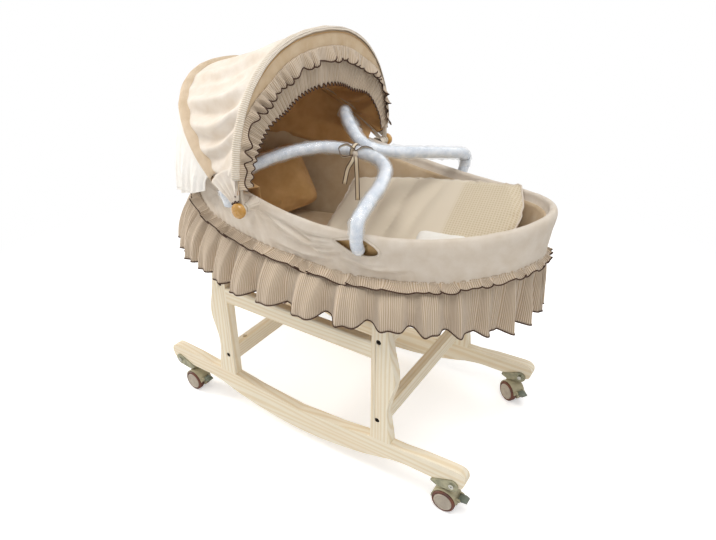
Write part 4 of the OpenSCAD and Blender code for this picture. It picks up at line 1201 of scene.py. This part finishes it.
# %% Pillows
def pillow(name, size, place, turns, material, voxel, cap):
    length, width, height = size
    t = np.linspace(-1, 1, 15)
    a = circle(72)
    rings = []
    for k in t:
        s = max(0, 1 - abs(k) ** 2.4) ** 0.5 * 0.96 + 0.04
        draw = 1 - 0.10 * np.abs(np.cos(2 * a)) ** 1.6
        rings.append(np.stack([length / 2 * s * draw * spow(np.cos(a), 0.5),
                               width / 2 * s * draw * spow(np.sin(a), 0.5),
                               np.full_like(a, height / 2 * math.sin(math.pi / 2 * k))],
                              axis=1))
    rings = np.array(rings)
    where = Matrix.Translation(place)
    for rx, ry, rz in turns:
        where = where @ (Matrix.Rotation(math.radians(rz), 4, "Z")
                         @ Matrix.Rotation(math.radians(ry), 4, "Y")
                         @ Matrix.Rotation(math.radians(rx), 4, "X"))
    m = np.array(where)
    rings = rings @ m[:3, :3].T + m[:3, 3]
    made = closed_form(name, rings, material)
    blow_up(made, voxel, cap)
    wrap_uv(made, m[:3, 0], m[:3, 1])
    middle = snug(made, rings[len(t) // 2])
    edge = thread_piece(name + "_piping", [middle], 1.5, material, closed=True)
    edge.data.uv_layers.new(name="cloth")
    for piece in (made, edge):
        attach(piece, "basket")
    return made


head_pillow = pillow("head_pillow", (184, 164, 42), (-242, 32, 482.1),
                     ((56, 0, 58), (0, 0, 10)), tan_cotton, 5.0, 4.0)
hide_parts("pillow")
small_pillow = pillow("side_pillow_pad", (112, 62, 34), (222, -66, 481),
                      ((24, -4, 4),), pillow_cotton, 4.0, 3.0)
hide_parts("side_pillow")

# %% [markdown]
# ## The hood
# Two bows turn about the knobs. A bow is a rounded arch in its own plane, which stands at an
# angle round the pivot line. The same formula gives the cloth between the bows, the padded
# rolls over them, and the frills around the mouth.

# %% Bows as formulas
FRONT_W, FRONT_H, FRONT_ANGLE, FRONT_POWER = 262.0, 273.0, 91.3, 2.38
REAR_W, REAR_H, REAR_ANGLE, REAR_POWER = 251.0, 329.0, 144.9, 2.12
HUB = np.array([HOOD_X, 0, HOOD_H])


def round_hub(r, t, y):
    # Points at a distance and an angle round the pivot line
    return np.stack([HOOD_X + r * np.cos(t), y, HOOD_H + r * np.sin(t)], axis=-1)


def bow_point(psi, w, h, m, angle, inset=0.0):
    y = -(w - inset) * spow(np.cos(psi), 2 / m)
    r = (h - inset) * np.abs(np.sin(psi)) ** (2 / m)
    return round_hub(r, np.radians(angle), y)


def rear_at(psi, inset=0.0, lean=0.0):
    return bow_point(psi, REAR_W, REAR_H, REAR_POWER, REAR_ANGLE + lean, inset)


def front_at(psi, inset=0.0, lean=0.0):
    return bow_point(psi, FRONT_W, FRONT_H, FRONT_POWER, FRONT_ANGLE + lean, inset)


def bow_roll(name, from_knob, bow, angle, inset, radius, arc, material):
    # Padded roll over a bow: part of a circle swept round the bow, behind to ahead
    mid = bow(np.radians(np.linspace(from_knob, 180 - from_knob, 150)), inset)
    t = math.radians(angle)
    ahead = np.array([math.sin(t), 0.0, -math.cos(t)])
    out = unit(np.cross(unit(np.gradient(mid, axis=0)), ahead))
    if ((mid - HUB) * out).sum() < 0:
        out = -out
    points = np.array([mid + radius * (math.cos(b) * out + math.sin(b) * ahead)
                       for b in np.radians(np.linspace(-arc, arc, 15))])
    points += 0.5 * rumple(points, 35, 41)[..., None] * out
    return cloth(name, points, material, long_row=7, thick=1.2, flip=True)


rear_roll = bow_roll("rear_bow_roll", 13, rear_at, REAR_ANGLE, 8.6, 13.4, 104, band_cotton)
front_roll = bow_roll("front_bow_ribbed_roll", 9, front_at, FRONT_ANGLE, 7.0, 7.4, 80,
                      ribbed_cord)
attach(rear_roll, "hood_rear")
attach(front_roll, "hood_front")

# %% [markdown]
# The canopy's cloth is sewn to both bows and drawn straight between them, so it dips below a
# round hood's line. It is a little too wide, and level folds run from one bow to the other
# down each side.

# %% Canopy
U_ROWS, PSI_COLS = 34, 340
u = np.linspace(0, 1, U_ROWS)[:, None]
psi_deg = np.linspace(176.0, 4.0, PSI_COLS)[None, :]
psi = np.radians(psi_deg)


def canopy_at(inset, slack):
    # Straight lines from bow to bow, moved towards the pivot line by the slack
    rear = rear_at(psi, inset - 0.5)
    front = front_at(psi, inset - 2, -1.5)
    points = rear + (front - rear) * u[..., None]
    return points + unit(HUB - points) * slack[..., None]


# Level folds: place on each side in degrees round the bow, half width, depth in mm
LEVEL_FOLDS = [(66, 4.6, 18.75), (56, 3.4, 8.75), (45, 3.8, 23.75), (34, 3.6, 22.5),
               (24, 3.0, 16.25), (14, 2.6, 10.0), (79, 6.0, 7.5)]
from_side = np.minimum(psi_deg, 180 - psi_deg) + np.where(psi_deg > 90, 3.0, 0.0)
slack = 6.0 * np.sin(math.pi * u) ** 2 + 0 * psi_deg
for place, half, depth in LEVEL_FOLDS:
    centre = place - 3.5 * np.sin(math.pi * u) + 1.5 * np.sin(4 * u + place)
    t = (from_side - centre) / half
    slack = slack - depth * t * np.exp(-t * t) * ease(u / 0.3) * ease((1 - u) / 0.25)
# The cloth dips where it is tucked in behind the rear roll
slack = slack + 3.2 * (1 - ease(u / 0.07)) + 1.0 * (1 - np.sin(math.pi * u) ** 0.3)
canopy_points = canopy_at(1.0, slack)
canopy_points += outward(canopy_points, False) * (
    0.8 * rumple(canopy_points, 60, 51) * np.sin(math.pi * u))[..., None]
canopy = cloth("canopy_cloth", canopy_points, hood_cotton, thick=1.4, flip=True,
               long_row=16, turn=True)
inner_slack = slack + 1.6 * np.sin(math.pi * u) * (1 + rumple(canopy_points, 90, 52))
inner_slack = inner_slack + 6.5 * (1 - np.sin(math.pi * u) ** 0.35)
inner_points = canopy_at(4.5, inner_slack)
hood_lining = cloth("hood_lining_cloth", inner_points, tan_cotton, long_row=16, turn=True,
                    thick=0.8)
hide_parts("canopy")
print("canopy faces", len(canopy.data.polygons))


def turn_with_hood(made):
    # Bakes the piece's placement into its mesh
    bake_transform(made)
    co = coords(made) * 1000


for made, grid in ((canopy, canopy_points), (hood_lining, inner_points)):
    turn_with_hood(made)

# %% [markdown]
# At each side the canopy's raw lower edge is overlocked, and a gathered gusset, shaped like a
# fan, closes the gap from it down to the knob.

# %% Canopy hems and gussets
hems = [canopy_points[:, column] - np.array([0, 0, 0.6]) for column in (0, -1)]
hem_threads = thread_piece("canopy_hem_threads", hems, 1.3, overlock)
turn_with_hood(hem_threads)
GUSSET_TOP, GUSSET_DROP, GUSSET_OFF = 74, 58, 253.4
lean = np.radians(np.linspace(REAR_ANGLE + 3, FRONT_ANGLE - 3, 120))
for side, name in ((-1, "near"), (1, "far")):
    rows = []
    for v in np.linspace(0, 1, 16):
        r = GUSSET_TOP - GUSSET_DROP * v + 1.6 * np.sin(lean * 33) * v
        y = side * (GUSSET_OFF + 1.4 * v + (1.6 + 1.6 * np.sin(lean * 26 + 1.5 * np.sin(lean * 5)))
                    * (0.3 + 0.7 * v))
        rows.append(round_hub(r, lean, y))
    gusset_points = np.array(rows)
    gusset = cloth(name + "_hood_gusset", gusset_points, hood_cotton, thick=1.2,
                   flip=side > 0)
    edge = thread_piece(name + "_hood_gusset_thread", [gusset_points[-1]], 1.1, overlock)
    for made in (gusset, edge):
        turn_with_hood(made)

# %% [markdown]
# Where a bolt leaves the cover, a gathered collar of the cover's cloth is tied round it.

# %% Collars on the hood's bolts
for side, name in ((-1, "near"), (1, "far")):
    turn = circle(72)
    rows = []
    for k, (y, r) in enumerate(((214.5, 15.0), (217.5, 12.0), (221, 9.4), (226, 8.2),
                                (231, 8.0), (235, 8.8), (236.8, 8.4))):
        r = r + 0.7 * np.sin(13 * turn + 2 * np.sin(3 * turn + k * 0.3)) * (1 - k / 9)
        rows.append(round_hub(r, turn, np.full_like(turn, side * y)))
    collar = cloth(name + "_bolt_collar", np.array(rows), cream_cotton, wrap=True,
                   thick=1.0, flip=side < 0)
    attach(collar, "basket")

# %% [markdown]
# The hood's mouth has three rings of cloth: a plain brim that faces down, a gathered ruffle
# with a dark free edge that meanders in big loops, and a pleated inner frill whose edge runs
# in small teeth. All three get narrow towards the knobs.

# %% Rings round the mouth
MOUTH_START, BRIM, RUFFLE, FRILL, BOW_R = 4.5, 33.5, 34.0, 52.0, 4.0


def mouth_point(psi_deg, depth, ahead):
    p = bow_point(np.radians(psi_deg), FRONT_W - depth * 0.85, FRONT_H - depth,
                  FRONT_POWER, FRONT_ANGLE)
    return p + np.stack([ahead, 0 * ahead, 0 * ahead], axis=-1)


def top_share(psi_deg):
    return ease((90 - np.abs(psi_deg - 90) - 24) / 34)


def mouth_grid(psi_deg, levels, depth_of, ahead_of):
    return np.array([mouth_point(psi_deg, depth_of(psi_deg, v), ahead_of(psi_deg, v))
                     for v in levels])


def brim_depth(p, v):
    return MOUTH_START + BRIM * v * (0.12 + 0.88 * top_share(p))


def narrow(p):
    return 0.6 + 0.4 * top_share(p)


p = np.linspace(6, 174, 300)
brim_points = mouth_grid(p, np.linspace(0, 1, 10), brim_depth,
                         lambda p, v: BOW_R + 0.6 + 1.2 * np.sin(math.pi * v)
                         + 0.5 * np.sin(p * 1.1) * v)
brim = cloth("brim_cloth", brim_points, lining_cotton, thick=1.4, long_row=0, turn=True)
p = np.linspace(6, 174, 1600)
round_bow = np.radians(p)
gather = 60 * round_bow + 2.6 * np.sin(round_bow * 7) + 1.5 * np.sin(round_bow * 17 + 1)
big_loop = 0.62 + 0.38 * np.sin(round_bow * 19 + 1.6 * np.sin(round_bow * 4))


def ruffle_depth(p, v):
    loops = 6.5 * np.sin(gather + 1.5) * big_loop * v ** 1.5
    return brim_depth(p, 1) + (-5 + (RUFFLE - 9) * v) * narrow(p) + loops


def ruffle_ahead(p, v):
    return (BOW_R + 2.8 + 2.2 * v + (8.0 + 8.0 * np.sin(gather)) * big_loop * v ** 0.7
            + 0.6 * np.sin(gather * 3) * (1 - v))


ruffle_points = mouth_grid(p, np.linspace(0, 1, 9), ruffle_depth, ruffle_ahead)
ruffle = cloth("front_ruffle_cloth", ruffle_points, stripe_cord, thick=1.0)
ruffle_thread = thread_piece("front_ruffle_thread", [ruffle_points[-1]], 1.3, overlock)
pleat = 112 * round_bow + 1.1 * np.sin(round_bow * 13)


def frill_depth(p, v):
    wide = 0.55 + 0.33 * ease((84 - np.abs(p - 90)) / 24) + 0.12 * top_share(p)
    return (brim_depth(p, 1) + (1 + (RUFFLE + FRILL - 20) * v) * wide
            + 3.0 * np.sin(pleat) * v ** 4)


def frill_ahead(p, v):
    return (BOW_R + 1.4 + 1.2 * np.sin(pleat + 0.7) * (0.35 + 0.65 * v)
            - 3.0 * v * v * top_share(p))


frill_points = mouth_grid(p, np.linspace(0, 1, 12), frill_depth, frill_ahead)
frill = cloth("inner_frill_cloth", frill_points, stripe_cord, thick=0.8)
frill_thread = thread_piece("inner_frill_thread", [frill_points[-1]], 1.2, overlock)
brim_stitches = stitches("brim_stitches", [brim_points[8] + np.array([1.0, 0, 0])],
                         cream_cotton, spacing=5.5, stitch=3.2)
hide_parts("brim")
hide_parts("front_ruffle")
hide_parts("inner_frill")
for made in (brim, ruffle, ruffle_thread, frill, frill_thread, brim_stitches):
    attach(made, "hood_front")

# %% [markdown]
# Behind the rear bow a thin bleached curtain falls from the hood to below the rim, so the
# sleeper's head is out of the draught. Inside it the hood's tan lining goes on down, over the
# rim and a little way into the basket. The tops of both follow the bow and their hems stay
# with the basket.

# %% Rear curtain
# How far the hem hangs below the rim at its ends and in the middle, and its distance out
CURTAIN_ENDS, CURTAIN_MIDDLE, CURTAIN_OFF = 24, 130, 24.6
uu = np.linspace(0, 1, 420)
psi = np.radians(166 - 152 * uu)
aa = np.radians(112 + 136 * uu)
rows = []
for v in np.linspace(1, 0, 26):
    top = rear_at(psi, lean=1.6)
    hang = CURTAIN_ENDS + (CURTAIN_MIDDLE - CURTAIN_ENDS) * (
        1 - np.abs(2 * uu - 1) ** 2.5)
    ripple = (5 * (1 - np.cos(14 * 2 * math.pi * uu + 0.9 * np.sin(9 * uu)))
              + 1.2 * np.sin(41 * 2 * math.pi * uu)) * (1 - v)
    x, y = plan(aa, CURTAIN_OFF + ripple)
    low = np.stack([x, y, rim_at(aa) - hang], axis=1)
    # It goes up evenly and turns in late, so that it bulges outwards
    rows.append(low + (top - low) * np.array([v ** 2.4, v ** 2.4, v]))
curtain_points = np.array(rows)
curtain_points += outward(curtain_points, False) * (
    0.8 * rumple(curtain_points, 80, 61))[..., None]
curtain = cloth("rear_curtain_cloth", curtain_points, curtain_cotton, thick=1.2)
curtain_hem = thread_piece("rear_curtain_hem", [curtain_points[-1]], 1.3, curtain_cotton)
curtain_hem.data.uv_layers.new(name="cloth")
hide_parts("rear_curtain")
psi = np.radians(174 - 168 * uu)
aa = np.radians(97 + 166 * uu)
top = rear_at(psi, 12.5, -2.2)
x, y = plan(aa, -29)
over_rim = np.stack([x, y, rim_at(aa) + 9], axis=1)
x, y = plan(aa, -31 + 1.0 * np.sin(19 * aa))
low = np.stack([x, y, rim_at(aa) - 46], axis=1)
back_points = np.array([top + (over_rim - top) * t for t in np.linspace(0, 1, 18)]
                       + [over_rim + (low - over_rim) * t
                          for t in np.linspace(0, 1, 7)[1:]])
back_points += outward(back_points, False) * rumple(back_points, 90, 62)[..., None]
back_lining = cloth("hood_back_lining_cloth", back_points, tan_cotton, thick=0.8)
for made in (curtain, curtain_hem, back_lining):
    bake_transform(made)

# %% [markdown]
# ## Carrying handles
# Each handle is a bent tube bound in white tape and still in its clear wrapping film. The
# tube is swept along given points, and the film is a second, looser skin with sharp
# little creases that catch the light.

# %% Handle finishes
tape, tree = start("white_gloss_binding_tape")
# The crinkles' hollows are painted bluish grey: painted shade on the white tape
crease = noise(tree, object_place(tree), 70.0, 5.0, 0.65)[0]
surface(tree, mixed(tree, ranged(tree, crease, 0.35, 0.65), rgb("#cbd6e4"), rgb("#f4f7fb")),
        0.22, crease, 0.6, 0.0014, {"Coat Weight": 0.5, "Coat Roughness": 0.12})

film, tree = start("clear_polythene_film")
surface(tree, rgb("#f4f7fb"), 0.08, noise(tree, object_place(tree), 120.0, 6.0, 0.7)[0],
        0.9, 0.002, {"Alpha": 0.24, "Specular IOR Level": 0.9})
film.surface_render_method = "BLENDED"


# %% Tubes and film
TUBE_R, FILM_R, HANDLE_MID = 11.0, 12.2, 145


def tube_points(path, radius, sides, flat_dir=(0, -0.47, 0.88)):
    along = unit(np.gradient(path, axis=0))
    u = unit(np.cross(along, np.cross(flat_dir, along)))
    v = np.cross(along, u)
    t = circle(sides)
    ring = (np.cos(t)[None, :, None] * u[:, None, :]
            + np.sin(t)[None, :, None] * v[:, None, :])
    return path[:, None, :] + radius * ring


def cap_ends(work):
    bmesh.ops.holes_fill(work, edges=[e for e in work.edges if e.is_boundary], sides=0)
    face_outwards(work)


NEAR_LINE = [[0, 0, 0], [-1, -5.4, 14], [-1, -9, 28], [0, -7.6, 40], [2, 2, 49],
             [5, 17, 54], [12, 48, 62], [24, 92, 69], [46, 138, 76], [86, 176, 84],
             [145, 190, 89], [203, 177, 93], [245, 140, 93], [267, 82, 87],
             [275, 30, 77], [279, -9, 61], [281, -16, 40], [281, -12, 17], [280, 0, 0]]
FAR_LINE = [[0, 0, 0], [-1, -5.4, 14], [-1, -9, 28], [0, -7.6, 40], [3, 3, 50],
            [9, 24, 64], [20, 61, 86], [40, 105, 116], [75, 146, 118], [113, 175, 108],
            [145, 187, 95], [179, 184, 89], [220, 150, 86], [251, 96, 80],
            [272, 40, 70], [279, -4, 58], [281, -16, 40], [281, -12, 17], [280, 0, 0]]
for name, line, side, body in (("near", NEAR_LINE, -1, "near_carry"),
                               ("far", FAR_LINE, 1, "far_carry")):
    local = smooth([[q[0] - HANDLE_MID, q[1], q[2]] for q in line], 8)
    route = from_handle(local, side)
    tube = tube_points(route, TUBE_R, 28)
    swell = 0.35 * rumple(tube, 22, 71)
    centre = route[:, None, :]
    tube = centre + (tube - centre) * (1 + swell[..., None] / TUBE_R)
    made = cloth(name + "_handle_tube", tube, tape, wrap=True)
    rework(made.data, cap_ends)
    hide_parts(name + "_handle")
    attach(made, body)
    lo, hi = 10, len(route) - 12
    sleeve = tube_points(route[lo:hi], FILM_R, 36)
    centre = route[lo:hi, None, :]
    crinkle = 1.5 * np.abs(rumple(sleeve, 11, 72)) + 1.2 * np.abs(rumple(sleeve, 24, 73))
    sleeve = centre + (sleeve - centre) * (1 + crinkle[..., None] / FILM_R)
    skin = cloth(name + "_handle_film", sleeve, film, wrap=True)
    rework(skin.data, face_outwards)
    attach(skin, body)
    print(name, "handle tube", round(run_of(route, False)[-1]), "mm")

# %% [markdown]
# A ribbon of the cover's cloth, edged in brown on both sides, is tied round the near
# handle's crown in a bow. Each loop and tail is a flat band swept along a path.

# %% Ribbon
RIBBON_W = 9.0
ribbon_cloth, tree = start("edged_cotton_ribbon")
from_middle = reckon(tree, "ABSOLUTE", reckon(tree, "SUBTRACT", cloth_lengths(tree)[1],
                                              RIBBON_W / 2 * 0.001))
tone = mixed(tree, ranged(tree, from_middle, 0.0026, 0.0030), rgb("#ddcdb2"), rgb("#4a3226"))
close(tree, add(tree, "ShaderNodeBsdfPrincipled", {
    "Base Color": tone, "Roughness": 0.85, "Sheen Weight": 0.2}))

tie = from_handle([[8, 190, 89.5]], -1)[0]


def band(name, points, way):
    path = smooth(points, 8) + tie
    along = unit(np.gradient(path, axis=0))
    across = unit(way - (way * along).sum(axis=1, keepdims=True) * along)
    rows = np.array([path + across * s for s in RIBBON_ROWS])
    made = cloth(name, rows, ribbon_cloth, thick=0.9)
    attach(made, "near_carry")


RIBBON_ROWS = np.linspace(-RIBBON_W / 2, RIBBON_W / 2, 7)
toward = np.array([0.55, -0.84, 0.0])
sideways = np.array([0.84, 0.55, 0.0])


def from_knot(ahead, aside, up):
    return toward * ahead + sideways * aside + np.array([0, 0, up])


for s, label, reach, rise in ((-1, "left", 30, 12), (1, "right", 32, 9)):
    path = [from_knot(13, 0, 3), from_knot(20, s * reach * 0.5, rise + 6),
            from_knot(19, s * reach, rise), from_knot(15, s * reach * 0.85, -6),
            from_knot(15, s * reach * 0.35, -5), from_knot(13, 0, -2)]
    band("ribbon_loop_" + label, path, from_knot(0.8, 0, 0.6))
for s, label, drop, spread in ((-1, "left", 62, 22), (1, "right", 96, 4)):
    path = [from_knot(14, 0, 0), from_knot(19, s * spread * 0.3, -14),
            from_knot(16, s * spread * 0.7, -drop * 0.5), from_knot(13, s * spread, -drop)]
    band("ribbon_tail_" + label, path, sideways)
turns = circle(40)
handle_local = to_handle(tie[None, :], -1)[0]
ring = from_handle([[handle_local[0], handle_local[1] + 14 * math.cos(t),
                     handle_local[2] + 14 * math.sin(t)] for t in turns], -1)
way = from_handle([[1, 0, 0]], -1)[0] - from_handle([[0, 0, 0]], -1)[0]
rows = np.array([ring + way * s for s in RIBBON_ROWS])
wrap_band = cloth("ribbon_band", rows, ribbon_cloth, wrap=True, thick=0.9)
knot_rings = []
for k in np.linspace(-1, 1, 9):
    r = 6.5 * math.sqrt(max(0.02, 1 - k * k))
    knot_rings.append([tie + from_knot(15 + 4.5 * math.cos(t) * r / 6.5, r * math.sin(t),
                                       7.0 * k) for t in turns])
knot = closed_form("ribbon_knot", np.array(knot_rings), cream_cotton)
knot.data.uv_layers.new(name="cloth")
shade_smooth(knot.data)
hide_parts("handle_ribbon")
for made in (wrap_band, knot):
    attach(made, "near_carry")

# %% [markdown]
# ## Caster wheels
# A twin wheel is turned work: a brown polyurethane tyre round a moulded disc with a shallow
# dish, a ring groove and a flat hub. Each is a profile spun about the axle, and the
# construction's own turns place it.

# %% Wheels
TRAIL, AXLE_H, STEM_IN, PIVOT_HALF, STAND_X, FRAME_Y = 14.0, 24.0, 27.0, 361.0, -20.0, 189.0


def corner_matrix(end, side, turn):
    m = Matrix.Translation((STAND_X + end * PIVOT_HALF, side * FRAME_Y, 0))
    if end < 0:
        m = m @ Matrix.Diagonal((-1, 1, 1, 1))
    if side > 0:
        m = m @ Matrix.Diagonal((1, -1, 1, 1))
    return m @ Matrix.Translation((-STEM_IN, 0, 0)) @ Matrix.Rotation(
        math.radians(turn), 4, "Z")


def spun(name, profile, where, material):
    # Profile turned about the axle
    t = circle(72)
    rings = np.array([np.stack([r * np.cos(t), np.full_like(t, WHEEL_OFF + out),
                                r * np.sin(t)], axis=1) for r, out in profile])
    m = np.array(where)
    rings = rings @ m[:3, :3].T + m[:3, 3]
    made = closed_form(name, rings, material)
    shade_smooth(made.data)
    creased = made.modifiers.new("edge", "EDGE_SPLIT")
    creased.split_angle = math.radians(50)
    return settle(made)


# Radius and distance from the wheel's inner face, in mm; that face stands WHEEL_OFF out
WHEEL_OFF = 4.2
TYRE = [(17.4, 1.2), (22.6, 1), (23.6, 1.8), (24, 3.2), (24, 11.2), (23.6, 12.8),
        (22.6, 14.0), (21.0, 14.6), (19.6, 14.4), (19.2, 13.6), (17.4, 13.4)]
DISC = [(2.6, 0), (17.2, 0), (17.8, 1), (18.9, 1.4), (18.9, 14.2), (18.2, 15.2),
        (17.2, 15.7), (15.6, 15.6), (14.9, 14.9), (14.2, 15.2), (9.0, 15.9), (8.4, 15.5),
        (7.8, 15.9), (2.6, 16.1)]
for corner, (end, side, turn) in CORNERS.items():
    base = corner_matrix(end, side, turn) @ Matrix.Translation((TRAIL, 0, AXLE_H))
    for face, label in ((-1, "outer"), (1, "inner")):
        where = base @ Matrix.Diagonal((1, face, 1, 1))
        body = corner + "_" + label + "_roll"
        tyre = spun(corner + "_" + label + "_tyre", TYRE, where, tyre_pu)
        disc = spun(corner + "_" + label + "_disc", DISC, where, disc_abs)
        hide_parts(corner + "_" + label + "_wheel")
        for made in (tyre, disc):
            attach(made, body)
